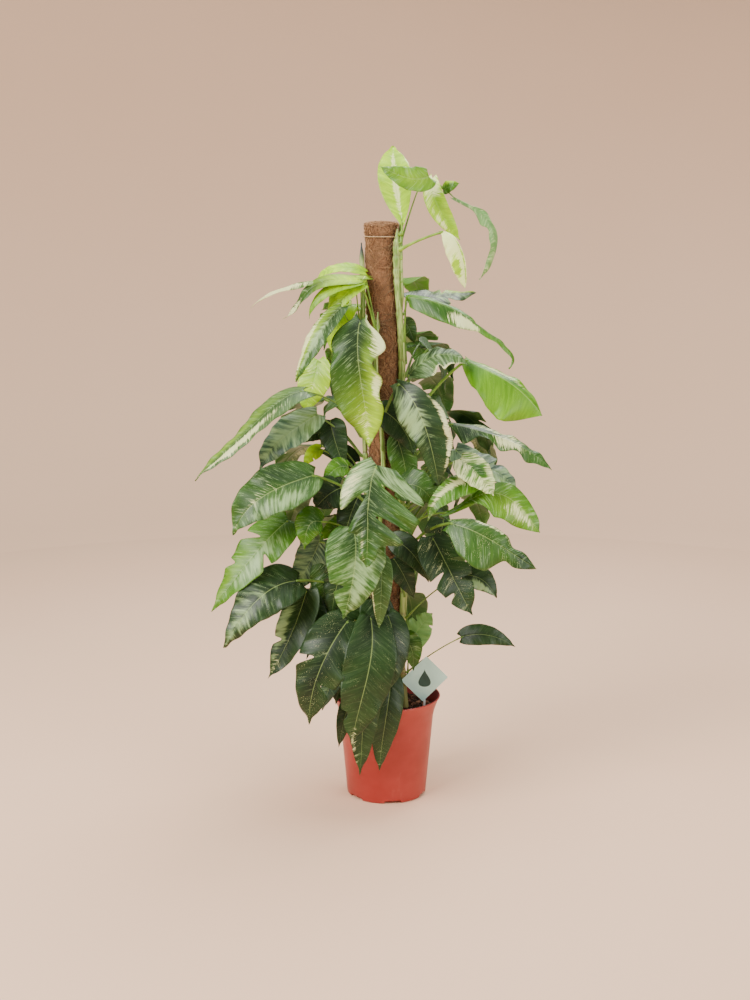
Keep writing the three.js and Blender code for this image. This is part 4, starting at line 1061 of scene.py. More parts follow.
# Each leaf: its name, vine and node height, the points along its midrib, its width, which way its upper
# face looks, its tone, and what else sets it apart. Cuts are place along the midrib, depth and half width,
# and drawn edges are place and half width in millimetres. Numbered leaves stand for the frame's own, some
# as several lobes or leaves. Lettered ones are the small or tucked-in leaves between.
LEAVES = [
    # Crown
    ("01", "right", 1294, [(32, -32, 1322), (23, -15, 1370), (15, 10, 1426), (14, 52, 1484)], 74,
     (0, -1, 0.1), "lime", dict(full=1.1, taper=0.75, marks=[("cream", 0.5, 0.0, 0.5, 0.2, 0.9),
     ("cream", 0.5, 1.0, 0.5, 0.1, 0.6)])),
    ("02", "right", 1276, [(89, -70, 1416), (54, -84, 1411), (17, -84, 1422), (-17, -74, 1438)], 58,
     (0, -1, 0.35), "fresh", dict(bend=(80, 60, 1440), full=0.35, cream=-0.2,
     marks=[("lime", 0.3, 0.0, 0.5, 0.9, 0.35)])),
    ("03", "right", 1240, [(100, 10, 1415), (104, -14, 1368), (128, -20, 1324), (160, -14, 1281)], 46,
     (-0.2, -1, 0.2), "lime", dict(bend=(30, 50, 1450), full=0.7, cream=0.1, waves=1.6,
     marks=[("cream", 0.05, 0.0, 0.2, 0.9, 0.9), ("cream", 0.6, 0.6, 0.3, 0.3, 0.4),
     ("dark", 0.4, -0.3, 0.2, 0.4, 0.5)])),
    ("04", "right", 1262, [(118, -50, 1300), (146, -78, 1276), (161, -84, 1236), (168, -80, 1178)], 56,
     (-0.1, -1, 0.3), "lime", dict(starboard_edge=[(0, 4), (0.15, 20), (0.4, 29), (0.7, 24), (0.9, 11),
     (1, 0)], stalk_width=1.9, rise=0.06, port_edge=[(0, 3), (0.2, 8), (0.6, 9), (0.9, 5), (1, 0)],
     port_fold=30, cream=0.85, marks=[("cream", 0.65, 0.6, 0.16, 0.35, -1.1),
     ("cream", 0.5, -0.6, 0.5, 0.3, -0.6)])),
    ("05", "right", 1212, [(149, 60, 1372), (200, 74, 1346), (238, 78, 1305), (240, 74, 1248),
     (210, 66, 1191)], 40, (0.6, -0.8, 0.3), "mint", dict(port_edge=[(0, 4), (0.26, 4), (0.34, 22),
     (0.42, 9), (0.6, 15), (0.85, 10), (1, 0)], bend=(4, 68, 1520), starboard_edge=[(0, 4), (0.28, 5),
     (0.38, 26), (0.46, 9), (0.6, 15), (0.85, 9), (1, 0)], cream=0.25, silver=0.3, fold=12)),
    # Right side, from the top down
    ("06", "right", 1120, [(44, 30, 1151), (124, 60, 1154), (203, 80, 1162)], 70, (0, -0.5, 1), "dark",
     dict(port=[(0.5, 0.5)], starboard=[(0.55, 0.6)], silver=0.35,
     marks=[("lime", 0.75, -0.9, 0.3, 0.4, 0.9)])),
    ("07", "right", 1060, [(44, -48, 1149), (121, -90, 1143), (200, -104, 1097), (248, -104, 1061),
     (276, -100, 1028), (264, -96, 1006)], 80, (0.2, -0.75, 0.6), "fresh", dict(starboard_edge=[(0, 6),
     (0.08, 20), (0.22, 34), (0.4, 38), (0.5, 35), (0.55, 13), (0.65, 11), (0.9, 9), (1, 0)],
     port_edge=[(0, 5), (0.2, 12), (0.45, 12), (0.55, 9), (0.9, 8), (1, 0)], starboard_fold=10,
     port_fold=30, marks=[("cream", 0.42, 0.6, 0.13, 0.5, 1.0), ("dark", 0.25, 0.5, 0.2, 0.5, 0.5)])),
    ("08", "right", 905, [(46, -54, 984), (82, -64, 1020), (127, -72, 1035), (179, -70, 1010)], 90,
     (-0.1, -0.7, 0.7), "grey", dict(port_edge=[(0, 6), (0.15, 20), (0.4, 28), (0.7, 22), (0.9, 9), (1, 0)],
     port_fold=14, starboard_fold=8, starboard_edge=[(0, 8), (0.15, 36), (0.35, 46), (0.48, 42), (0.53, 20),
     (0.6, 38), (0.75, 28), (0.9, 11), (1, 0)], silver=0.35, marks=[("dark", 0.5, -0.6, 0.5, 0.4, 0.9),
     ("cream", 0.6, 0.95, 0.4, 0.15, 0.8)])),
    ("09", "right", 860, [(175, -20, 1021), (219, -60, 999), (266, -80, 975), (306, -90, 943),
     (340, -92, 902)], 130, (0.2, -1, 0.15), "bright", dict(starboard_edge=[(0, 12), (0.25, 50), (0.5, 76),
     (0.75, 84), (0.9, 46), (1, 0)], cream=-0.4, waves=1.4, quilt=0.5, port_edge=[(0, 6), (0.15, 24),
     (0.5, 32), (0.8, 26), (1, 0)], port_fold=42, sweep=0.1, marks=[("cream", 0.4, -0.6, 0.5, 0.45, 1.0),
     ("dark", 0.5, -0.35, 0.5, 0.2, 0.8), ("dark", 0.15, 0.4, 0.12, 0.4, 0.5)])),
    ("10", "front", 880, [(22, -92, 975), (52, -124, 944), (81, -142, 884), (98, -150, 826),
     (113, -146, 754)], 124, (-0.35, -0.8, 0.45), "dark", dict(port_edge=[(0, 6), (0.15, 26), (0.4, 50),
     (0.65, 50), (0.85, 26), (0.93, 10), (1, 0)], fold=8, cream=-0.1, starboard_edge=[(0, 16), (0.1, 40),
     (0.3, 52), (0.5, 44), (0.6, 30), (0.8, 22), (0.93, 9), (1, 0)],
     marks=[("silver", 0.3, 0.5, 0.35, 0.8, 0.7), ("cream", 0.5, -0.9, 0.5, 0.2, 0.8)])),
    ("11", "right", 790, [(140, -60, 881), (205, -84, 867), (286, -102, 838), (362, -108, 783)], 90,
     (0.1, -0.5, 0.85), "mid", dict(starboard_edge=[(0, 6), (0.1, 24), (0.2, 50), (0.28, 14), (0.42, 18),
     (0.55, 34), (0.63, 13), (0.76, 26), (0.9, 15), (1, 0)], port_edge=[(0, 5), (0.15, 22), (0.5, 26),
     (0.8, 18), (0.92, 9), (1, 0)], port_fold=16, starboard_fold=24,
     marks=[("cream", 0.55, 0.2, 0.18, 0.7, 0.8), ("dark", 0.2, 0.6, 0.12, 0.5, 0.9),
     ("cream", 0.3, -0.8, 0.3, 0.3, 0.6)])),
    ("12", "right", 735, [(154, -14, 816), (210, -26, 781), (266, -36, 754), (290, -40, 712)], 84,
     (0.1, -0.6, 0.8), "blue", dict(port=[(0.5, 0.5)], silver=0.45,
     marks=[("lime", 0.6, 0.7, 0.3, 0.4, 0.35)])),
    ("13", "right", 705, [(160, -110, 809), (200, -140, 776), (231, -158, 734)], 72, (0.1, -0.8, 0.5),
     "fresh", dict(cream=0.5, marks=[("dark", 0.4, -0.3, 0.15, 0.3, 1.0),
     ("cream", 0.4, -0.3, 0.15, 0.3, -0.8)])),
    ("14", "right", 670, [(211, -112, 766), (154, -132, 751), (112, -148, 724), (88, -156, 679)], 56,
     (-0.2, -0.8, 0.5), "fresh", dict(silver=0.3, cream=0.15, marks=[("cream", 0.4, 0.3, 0.5, 0.3, 0.6)])),
    ("15", "right", 640, [(126, -96, 683), (172, -108, 711), (237, -118, 734), (292, -126, 703),
     (337, -130, 648)], 98, (0.1, -0.8, 0.6), "fresh", dict(starboard_edge=[(0, 6), (0.3, 14), (0.42, 46),
     (0.55, 56), (0.75, 46), (0.9, 20), (1, 0)], port_edge=[(0, 5), (0.3, 8), (0.45, 28), (0.6, 38),
     (0.8, 30), (0.92, 13), (1, 0)], fold=8, silver=0.2, cream=0.05,
     marks=[("cream", 0.75, 0.3, 0.2, 0.5, 0.5), ("lime", 0.7, 0.4, 0.3, 0.6, 0.25)])),
    ("16", "right", 590, [(136, -166, 676), (194, -196, 661), (253, -206, 628), (322, -206, 583)], 120,
     (0, -0.95, 0.4), "mid", dict(starboard_edge=[(0, 20), (0.2, 60), (0.45, 72), (0.6, 62), (0.66, 20),
     (0.8, 26), (0.92, 12), (1, 0)], port_edge=[(0, 8), (0.2, 26), (0.5, 30), (0.62, 26), (0.68, 12),
     (0.82, 18), (1, 0)], specks=1.0, marks=[("cream", 0.35, -0.9, 0.3, 0.15, 0.6),
     ("dark", 0.85, 0.0, 0.15, 1.5, 0.8)])),
    ("17", "right", 530, [(100, -113, 634), (121, -132, 596), (149, -146, 541), (189, -146, 464)], 108,
     (0.2, -0.9, 0.4), "dark", dict(starboard=[(0.4, 0.7), (0.66, 0.6)], port=[(0.3, 0.7), (0.55, 0.65)],
     silver=0.1, cream=0.15, specks=1.0)),
    # Leaf 18's silver spot on its starboard half is partly silver marbling and partly a painted highlight:
    # the sheen on this dark leaf, painted into its colour
    ("18", "right", 430, [(172, -62, 535), (215, -80, 528), (246, -86, 488)], 60, (0, -0.9, 0.5), "dark",
     dict(marks=[("silver", 0.5, 0.6, 0.5, 0.4, 1.0)])),
    ("19", "right", 300, [(171, -30, 381), (232, -42, 389), (295, -42, 361)], 50, (0, -0.95, 0.4), "dark",
     dict(rise=0.08)),
    # Left side, from the top down
    ("20", "front", 1102, [(-45, -60, 1203), (-89, -72, 1203), (-164, -84, 1193), (-230, -80, 1177),
     (-298, -70, 1136)], 26, (-0.05, -0.5, 0.9), "mid", dict(fold=16, taper=1.1, cream=0.2,
     marks=[("cream", 0.85, 0.0, 0.35, 1.5, 0.9), ("lime", 0.15, 0.0, 0.2, 1.0, 1.0)])),
    ("21", "left", 1090, [(-68, -34, 1190), (-92, -50, 1176), (-112, -58, 1140), (-122, -52, 1096)], 56,
     (-0.4, -1, 0.3), "lime", dict(port=[(0.5, 0.4)])),
    ("22", "left", 1040, [(-99, -108, 1140), (-131, -125, 1106), (-167, -131, 1049), (-199, -126, 980)], 52,
     (-0.6, -0.8, 0.3), "mid", dict(marks=[("dark", 0.2, 0.0, 0.2, 0.8, 0.6),
     ("silver", 0.55, 0.0, 0.4, 0.5, 0.8), ("cream", 0.55, 0.85, 0.5, 0.25, 0.9),
     ("lime", 0.5, 0.6, 0.5, 0.4, 0.6)])),
    ("23", "left", 935, [(-155, 20, 1014), (-162, 12, 977), (-174, 10, 939), (-182, 12, 896)], 76,
     (-0.3, -1, 0.2), "lime", dict(full=0.6, cream=0.25)),
    ("24", "left", 880, [(-183, -74, 955), (-240, -104, 932), (-299, -126, 880), (-362, -138, 822),
     (-421, -136, 764)], 76, (-0.3, -0.5, 0.9), "grey", dict(full=0.35, fold=6, silver=0.2,
     marks=[("cream", 0.6, -0.5, 0.4, 0.3, 0.9), ("lime", 0.6, 0.6, 0.4, 0.4, 0.35)])),
    ("25", "left", 800, [(-155, -40, 899), (-210, -66, 866), (-248, -82, 835), (-282, -88, 780)], 84,
     (-0.3, -0.8, 0.6), "blue", dict(silver=0.35, marks=[("lime", 0.1, 0.0, 0.15, 0.8, 0.4),
     ("silver", 0.5, 0.0, 0.4, 0.6, 0.4)])),
    ("26", "front", 675, [(-160, -105, 772), (-226, -138, 754), (-288, -158, 720), (-336, -166, 649)], 118,
     (-0.1, -0.85, 0.5), "mid", dict(full=0.6, silver=0.1, marks=[("cream", 0.6, 0.1, 0.4, 0.3, 0.3),
     ("dark", 0.4, 0.6, 0.4, 0.4, 0.5), ("silver", 0.4, -0.6, 0.4, 0.4, 0.5)])),
    ("27", "left", 655, [(-103, -75, 738), (-134, -92, 722), (-160, -90, 692)], 80, (0, -1, 0.3), "dark",
     {}),
    ("28", "left", 600, [(-144, -118, 668), (-172, -134, 664), (-182, -138, 610)], 76, (0.1, -0.9, 0.5),
     "fresh", dict(port=[(0.45, 0.4)], marks=[("dark", 0.4, 0.0, 0.4, 1.0, 0.6)])),
    ("29", "left", 550, [(-220, -80, 666), (-298, -120, 592), (-389, -140, 470)], 108, (-0.3, -0.8, 0.5),
     "fresh", dict(port=[(0.4, 0.6)], starboard=[(0.3, 0.65), (0.6, 0.4)], silver=0.1,
     marks=[("lime", 0.75, 0.5, 0.3, 0.4, 0.2), ("silver", 0.45, -0.4, 0.3, 0.5, 0.6)])),
    ("30", "left", 460, [(-197, -112, 534), (-280, -162, 508), (-359, -177, 398)], 112, (-0.1, -0.8, 0.6),
     "dark", dict(silver=0.1, specks=0.6, marks=[("silver", 0.8, 0.0, 0.4, 1.0, 0.4)])),
    ("31", "front", 525, [(-152, -42, 612), (-178, -52, 556), (-222, -56, 490)], 78, (-0.1, -1, 0.2),
     "blue", dict(silver=0.4)),
    ("32", "left", 395, [(-180, -84, 509), (-202, -104, 442), (-230, -118, 379), (-268, -120, 310)], 90,
     (-0.4, -0.9, 0.3), "dark", dict(starboard=[(0.55, 0.5)], marks=[("silver", 0.4, 0.7, 0.4, 0.4, 0.8),
     ("cream", 0.9, 0.0, 0.2, 0.8, 0.4)])),
    # Front, from the top down
    ("33", "front", 965, [(-59, -104, 1112), (-63, -146, 1029), (-52, -152, 951), (-41, -142, 840)], 140,
     (0, -1, 0.25), "mid", dict(port_edge=[(0, 12), (0.08, 44), (0.2, 62), (0.29, 60), (0.35, 22),
     (0.42, 34), (0.52, 50), (0.6, 30), (0.7, 42), (0.85, 28), (0.94, 9), (1, 0)], starboard_edge=[(0, 12),
     (0.08, 40), (0.2, 60), (0.27, 50), (0.36, 64), (0.6, 64), (0.8, 42), (0.93, 12), (1, 0)],
     marks=[("dark", 0.2, 0.2, 0.3, 0.7, 0.6), ("cream", 0.1, -0.9, 0.12, 0.4, 0.9),
     ("cream", 0.5, -0.8, 0.12, 0.3, 0.8), ("lime", 0.55, -0.7, 0.35, 0.4, 0.6),
     ("cream", 0.85, 0.1, 0.2, 0.5, 0.5), ("lime", 0.95, 0.0, 0.3, 0.9, 0.9)])),
    ("34", "front", 700, [(-23, -176, 806), (-40, -214, 747), (-43, -240, 682), (-46, -256, 598)], 250,
     (0, -1, 0.3), "mid", dict(full=0.55, taper=0.8, sweep=0.45, fold=14, starboard_share=0.5, cream=-0.1,
     port=[(0.15, 0.82, 0.06), (0.5, 0.8, 0.07), (0.8, 0.5, 0.16)], starboard=[(0.3, 0.92, 0.14),
     (0.66, 0.4, 0.24)], marks=[("silver", 0.1, 0.6, 0.2, 0.6, 0.7), ("cream", 0.1, 0.7, 0.12, 0.5, 0.6),
     ("silver", 0.05, -0.6, 0.1, 0.6, 0.6), ("dark", 0.55, 0.0, 0.2, 1.0, 0.6),
     ("cream", 0.8, 0.6, 0.25, 0.3, 0.5)])),
    ("35", "front", 560, [(-75, -162, 666), (-69, -216, 608), (-81, -232, 533), (-95, -230, 479)], 132,
     (0, -1, 0.3), "mid", dict(starboard=[(0.66, 0.6)], silver=0.3,
     marks=[("silver", 0.5, -0.4, 0.4, 0.3, 0.5)])),
    ("36", "front", 345, [(-86, -134, 450), (-120, -170, 407), (-151, -190, 345), (-173, -190, 225)], 124,
     (-0.1, -1, 0.3), "dark", dict(starboard=[(0.4, 0.6)], port=[(0.62, 0.7)], specks=1.0,
     marks=[("dark", 0.6, 0.3, 0.4, 0.8, 0.4)])),
    ("37", "front", 385, [(-38, -142, 462), (-35, -190, 387), (-51, -206, 310), (-78, -204, 185)], 116,
     (0, -1, 0.15), "dark", dict(full=0.7, starboard=[(0.75, 0.4)],
     marks=[("silver", 0.3, 0.5, 0.2, 0.3, 0.2), ("cream", 1.0, 0.0, 0.12, 1.0, 0.6)])),
    ("38", "front", 360, [(0, -118, 458), (13, -152, 409), (-6, -172, 333), (-50, -176, 262)], 80,
     (0.2, -1, 0.2), "dark", dict(cream=0.05, silver=0.1)),
    ("39", "front", 255, [(10, -112, 311), (0, -142, 240), (-9, -148, 182), (-17, -148, 102)], 70,
     (0.1, -1, 0.1), "dark", {}),
    ("40", "front", 300, [(-36, -128, 380), (-52, -160, 262), (-56, -168, 180), (-61, -168, 98)], 82,
     (0.1, -1, 0.1), "dark", dict(silver=0.1, marks=[("cream", 0.7, 0.8, 0.2, 0.3, 0.4)])),
    # Back, from the top down
    ("41", "back", 1040, [(-70, 120, 1130), (-110, 190, 1112), (-150, 232, 1018)], 112, (-0.3, 0.7, 0.7),
     "fresh", dict(port=[(0.45, 0.6)], cream=0.2, marks=[("lime", 0.5, 0.5, 0.5, 0.5, 0.7)])),
    ("42", "back", 960, [(40, 130, 1062), (75, 192, 1046), (95, 232, 956)], 112, (0.3, 0.7, 0.7), "fresh",
     dict(starboard=[(0.5, 0.65)], marks=[("cream", 0.4, -0.5, 0.3, 0.4, 0.8)])),
    ("43", "left", 845, [(-140, 100, 915), (-205, 165, 880), (-250, 205, 770)], 116, (-0.6, 0.5, 0.7),
     "mid", dict(port=[(0.4, 0.6), (0.65, 0.5)], silver=0.2, cream=0.1)),
    ("44", "back", 850, [(-20, 150, 935), (-30, 228, 902), (-40, 275, 790)], 122, (0, 0.8, 0.6), "mid",
     dict(port=[(0.35, 0.7)], starboard=[(0.5, 0.7)], marks=[("cream", 0.6, 0.6, 0.3, 0.4, 0.7)])),
    ("45", "right", 770, [(150, 100, 855), (215, 165, 822), (265, 205, 712)], 116, (0.6, 0.5, 0.7), "grey",
     dict(starboard=[(0.45, 0.65)], silver=0.3, marks=[("cream", 0.5, -0.8, 0.4, 0.2, 0.6)])),
    ("46", "back", 735, [(80, 150, 800), (110, 228, 765), (132, 275, 652)], 126, (0.3, 0.8, 0.6), "dark",
     dict(port=[(0.35, 0.75), (0.6, 0.6)], silver=0.15, specks=0.8)),
    ("47", "back", 640, [(-90, 150, 720), (-128, 222, 690), (-160, 265, 578)], 126, (-0.3, 0.8, 0.6), "mid",
     dict(starboard=[(0.35, 0.7), (0.58, 0.6)], cream=0.1, marks=[("cream", 0.3, -0.5, 0.2, 0.4, 0.6)])),
    ("48", "left", 560, [(-120, 100, 642), (-165, 160, 602), (-190, 190, 500)], 112, (-0.5, 0.6, 0.7),
     "dark", dict(silver=0.2)),
    ("49", "back", 520, [(-30, 160, 600), (-45, 238, 565), (-55, 282, 450)], 128, (0, 0.8, 0.6), "grey",
     dict(port=[(0.4, 0.7)], starboard=[(0.55, 0.6)], specks=0.8)),
    # Small and tucked-in leaves
    ("a", "right", 1010, [(39, 60, 1094), (51, 62, 1081), (64, 62, 1045)], 40, (0, -1, 0.2), "mid", {}),
    ("b", "right", 520, [(9, -62, 618), (56, -82, 590), (94, -88, 524)], 60, (0, -1, 0.3), "dark",
     dict(silver=0.1)),
    ("c", "right", 290, [(50, 10, 347), (80, 14, 396), (107, 16, 425)], 66, (0, -1, 0.2), "mint",
     dict(port=[(0.5, 0.5)], starboard=[(0.6, 0.4)])),
    ("d", "right", 330, [(34, -58, 386), (56, -66, 364), (60, -66, 312)], 58, (0, -1, 0.2), "mid", {}),
    ("e", "left", 575, [(-84, -30, 651), (-119, -44, 641), (-153, -50, 611)], 45, (0, -1, 0.4), "fresh",
     {}),
    ("f", "front", 820, [(-15, -62, 913), (34, -76, 872), (58, -80, 812)], 70, (0, -1, 0.3), "dark", {}),
    ("g", "left", 720, [(-72, 20, 779), (-113, 30, 801), (-151, 34, 797)], 50, (0, -1, 0.3), "dark", {}),
    ("h", "left", 760, [(-140, -8, 853), (-174, -14, 847), (-204, -16, 827)], 34, (0, -1, 0.4), "dark", {}),
    ("i", "left", 735, [(-150, 6, 814), (-172, 4, 799), (-188, 4, 773)], 34, (0, -1, 0.3), "lime",
     dict(port=[(0.5, 0.5)])),
    ("j", "left", 700, [(-87, -50, 780), (-116, -62, 778), (-143, -66, 747)], 46, (0, -1, 0.4), "fresh",
     dict(cream=0.1)),
    ("k", "right", 655, [(19, -72, 735), (67, -96, 745), (108, -100, 699)], 80, (0, -1, 0.4), "mid",
     dict(starboard=[(0.4, 0.5)], cream=0.1)),
    ("l", "right", 590, [(126, -96, 669), (115, -112, 624), (100, -116, 562)], 74, (0, -1, 0.3), "dark",
     dict(port=[(0.3, 0.8), (0.6, 0.7)], starboard=[(0.35, 0.8), (0.62, 0.7)], specks=1.0)),
    ("m", "left", 280, [(-88, -84, 345), (-122, -104, 302), (-147, -106, 230)], 55, (-0.2, -1, 0.2), "blue",
     {}),
    ("n", "left", 262, [(-83, -118, 266), (-97, -128, 214), (-109, -128, 151)], 38, (0, -1, 0.1), "dark",
     {}),
    ("o", "front", 500, [(-11, -128, 589), (-13, -160, 520), (-19, -162, 433)], 48, (0, -1, 0.2), "grey",
     dict(marks=[("cream", 0.5, 0.95, 0.5, 0.15, 0.7)])),
    # The curl beside the crown, and the rest of the fan and its neighbour
    ("p", "right", 1190, [(125, 50, 1390), (139, 30, 1398), (160, 30, 1404)], 28, (0, -1, 0.3), "fresh",
     dict(bend=(10, 70, 1500), marks=[("lime", 0.5, -0.9, 0.5, 0.3, 1.0)])),
    ("20b", "front", 1098, [(-60, -72, 1197), (-117, -90, 1197), (-168, -94, 1177), (-193, -90, 1147),
     (-227, -84, 1113)], 34, (-0.1, -0.7, 0.7), "mid", dict(rise=0.1, sweep=0.3,
     marks=[("cream", 0.95, 0.0, 0.25, 1.5, 0.9), ("dark", 0.45, 0.0, 0.25, 1.0, 0.5),
     ("lime", 0.1, 0.0, 0.25, 1.0, 1.0)])),
    ("20c", "front", 1094, [(-56, -74, 1193), (-103, -92, 1185), (-146, -96, 1161), (-170, -90, 1113)], 30,
     (-0.1, -0.8, 0.6), "bright", dict(rise=0.08, marks=[("lime", 0.3, 0.0, 0.4, 1.0, 0.8)])),
    ("20d", "front", 1090, [(-50, -70, 1187), (-84, -80, 1171), (-110, -80, 1139), (-128, -72, 1098)], 34,
     (-0.2, -0.9, 0.4), "lime", dict(starboard=[(0.5, 0.4)], rise=0.06)),
    ("21b", "left", 1087, [(-78, -20, 1140), (-96, -32, 1126), (-114, -34, 1082), (-118, -28, 1026)], 56,
     (-0.3, -1, 0.3), "lime", dict(port=[(0.5, 0.5)], cream=0.1)),
    ("20e", "front", 1106, [(-48, -40, 1212), (-88, -46, 1222), (-128, -46, 1216), (-158, -40, 1192)], 34,
     (-0.1, -0.6, 0.8), "lime", dict(rise=0.1)),
    # Tucked in behind the front
    ("q", "left", 500, [(-147, -50, 567), (-129, -70, 502), (-147, -76, 406)], 84, (0, -1, 0.3), "mid",
     dict(specks=0.8, silver=0.1)),
    ("r", "left", 420, [(-190, -64, 488), (-167, -80, 432), (-183, -84, 344)], 70, (-0.2, -1, 0.3), "dark",
     dict(silver=0.1)),
    ("s", "front", 420, [(-111, -60, 505), (-92, -84, 441), (-106, -90, 356)], 80, (0, -1, 0.3), "dark",
     dict(port=[(0.5, 0.5)], silver=0.1)),
    ("t", "front", 480, [(-79, -60, 590), (-110, -80, 525), (-125, -84, 440)], 78, (0, -1, 0.3), "dark",
     dict(starboard=[(0.4, 0.5)], cream=0.1)),
    ("u", "front", 290, [(-85, -64, 375), (-105, -86, 315), (-116, -92, 239)], 70, (0, -1, 0.3), "dark",
     {}),
    ("v", "front", 400, [(-34, -84, 486), (-16, -104, 412), (-24, -110, 308)], 82, (0.1, -1, 0.2), "dark",
     dict(silver=0.15)),
    ("w", "right", 480, [(14, -64, 575), (38, -74, 537), (62, -72, 482)], 56, (0, -1, 0.3), "dark", {}),
    ("x", "left", 800, [(-128, -20, 883), (-117, -40, 840), (-94, -46, 773)], 66, (0, -1, 0.3), "dark",
     dict(cream=0.05)),
    ("y", "right", 770, [(20, -58, 850), (40, -66, 780), (44, -66, 694)], 64, (0, -1, 0.3), "mid", {}),
    ("z", "front", 640, [(-61, -50, 720), (-83, -66, 670), (-100, -68, 600)], 70, (0, -1, 0.3), "dark",
     dict(silver=0.1)),
    # Between the back leaves
    ("ba", "back", 1120, [(30, 90, 1180), (62, 150, 1186), (92, 200, 1112)], 84, (0.3, 0.7, 0.7), "bright",
     dict(port=[(0.5, 0.5)])),
    ("bb", "right", 985, [(70, 80, 1040), (120, 140, 1034), (160, 180, 950)], 98, (0.5, 0.6, 0.7), "mid",
     dict(starboard=[(0.4, 0.6)], silver=0.2)),
    ("bc", "left", 985, [(-70, 90, 1040), (-105, 150, 1022), (-128, 190, 930)], 96, (-0.4, 0.7, 0.6),
     "fresh", dict(marks=[("lime", 0.5, 0.4, 0.5, 0.5, 0.6)])),
    ("bd", "back", 905, [(66, 140, 965), (116, 200, 944), (150, 240, 850)], 110, (0.4, 0.7, 0.6), "mid",
     dict(port=[(0.35, 0.7), (0.6, 0.5)], cream=0.1)),
    ("be", "back", 900, [(-60, 150, 985), (-98, 212, 966), (-120, 250, 880)], 100, (-0.3, 0.8, 0.6), "dark",
     dict(silver=0.2)),
    ("bf", "right", 815, [(126, 70, 890), (200, 120, 866), (248, 150, 776)], 110, (0.6, 0.6, 0.6), "dark",
     dict(starboard=[(0.5, 0.6)], silver=0.2)),
    ("bg", "left", 750, [(-150, 70, 812), (-222, 120, 784), (-268, 145, 690)], 112, (-0.6, 0.5, 0.6), "mid",
     dict(port=[(0.45, 0.6)], marks=[("cream", 0.4, 0.6, 0.3, 0.4, 0.6)])),
    ("bh", "back", 790, [(20, 160, 866), (36, 228, 846), (46, 268, 742)], 112, (0.1, 0.9, 0.5), "fresh",
     dict(starboard=[(0.3, 0.7)], port=[(0.55, 0.6)], cream=0.1)),
    ("bi", "right", 640, [(134, 80, 716), (198, 138, 690), (238, 172, 590)], 110, (0.6, 0.6, 0.6), "mid",
     dict(port=[(0.5, 0.5)], specks=0.8)),
    ("bj", "left", 620, [(-140, 96, 700), (-204, 152, 672), (-240, 182, 562)], 108, (-0.5, 0.6, 0.6),
     "grey", dict(silver=0.2)),
    ("bk", "back", 590, [(60, 150, 660), (98, 212, 632), (118, 248, 530)], 112, (0.3, 0.8, 0.5), "dark",
     dict(starboard=[(0.45, 0.7)], silver=0.1)),
    ("bl", "right", 500, [(108, 96, 574), (150, 152, 545), (176, 186, 440)], 100, (0.5, 0.7, 0.5), "dark",
     dict(specks=0.7)),
    ("bm", "back", 430, [(20, 150, 500), (30, 206, 462), (38, 236, 350)], 104, (0.1, 0.9, 0.4), "dark",
     dict(port=[(0.4, 0.6)], silver=0.15)),
    ("bn", "left", 440, [(-104, 110, 510), (-146, 160, 472), (-168, 186, 362)], 98, (-0.5, 0.7, 0.5),
     "dark", dict(cream=0.05)),
    ("bo", "back", 380, [(-50, 140, 440), (-76, 186, 392), (-90, 208, 282)], 94, (-0.3, 0.9, 0.4), "mid",
     dict(starboard=[(0.5, 0.6)])),
    ("bp", "right", 400, [(44, 122, 450), (62, 168, 402), (66, 186, 292)], 88, (0.3, 0.9, 0.4), "dark", {}),
    ("bq", "back", 330, [(4, 128, 384), (6, 168, 314), (8, 180, 206)], 76, (0, 1, 0.3), "dark",
     dict(silver=0.1)),
    # On the two sides
    ("sa", "right", 960, [(90, 0, 1040), (120, 40, 1012), (135, 66, 930)], 96, (0.9, 0.1, 0.5), "mid",
     dict(port=[(0.5, 0.5)], cream=0.1)),
    ("sb", "right", 840, [(100, -20, 915), (138, 8, 890), (152, 26, 802)], 100, (1, 0, 0.4), "grey",
     dict(silver=0.2)),
    ("sc", "right", 690, [(110, 30, 780), (148, 60, 750), (162, 76, 660)], 104, (1, 0.1, 0.4), "dark",
     dict(starboard=[(0.45, 0.6)], silver=0.2)),
    ("sd", "right", 610, [(100, -30, 690), (138, -10, 665), (150, 0, 576)], 100, (1, -0.1, 0.4), "mid",
     dict(specks=0.7)),
    ("se", "left", 1005, [(-80, 20, 1060), (-108, 46, 1040), (-122, 66, 950)], 90, (-0.9, 0.2, 0.5),
     "bright", dict(cream=0.2)),
    ("sf", "left", 850, [(-100, -10, 930), (-138, 16, 902), (-150, 28, 812)], 100, (-1, 0, 0.4), "mid",
     dict(port=[(0.4, 0.6)], silver=0.2)),
    ("sg", "left", 670, [(-100, 30, 744), (-142, 58, 716), (-156, 74, 622)], 104, (-1, 0.1, 0.4), "dark",
     dict(silver=0.2)),
    ("sh", "left", 520, [(-100, 0, 590), (-136, 18, 562), (-150, 26, 462)], 104, (-1, 0, 0.4), "mid",
     dict(starboard=[(0.5, 0.5)], specks=0.7)),
    ("si", "left", 390, [(-88, 40, 460), (-122, 60, 430), (-134, 70, 330)], 96, (-1, 0.1, 0.4), "dark",
     dict(cream=0.05)),
]


# Label


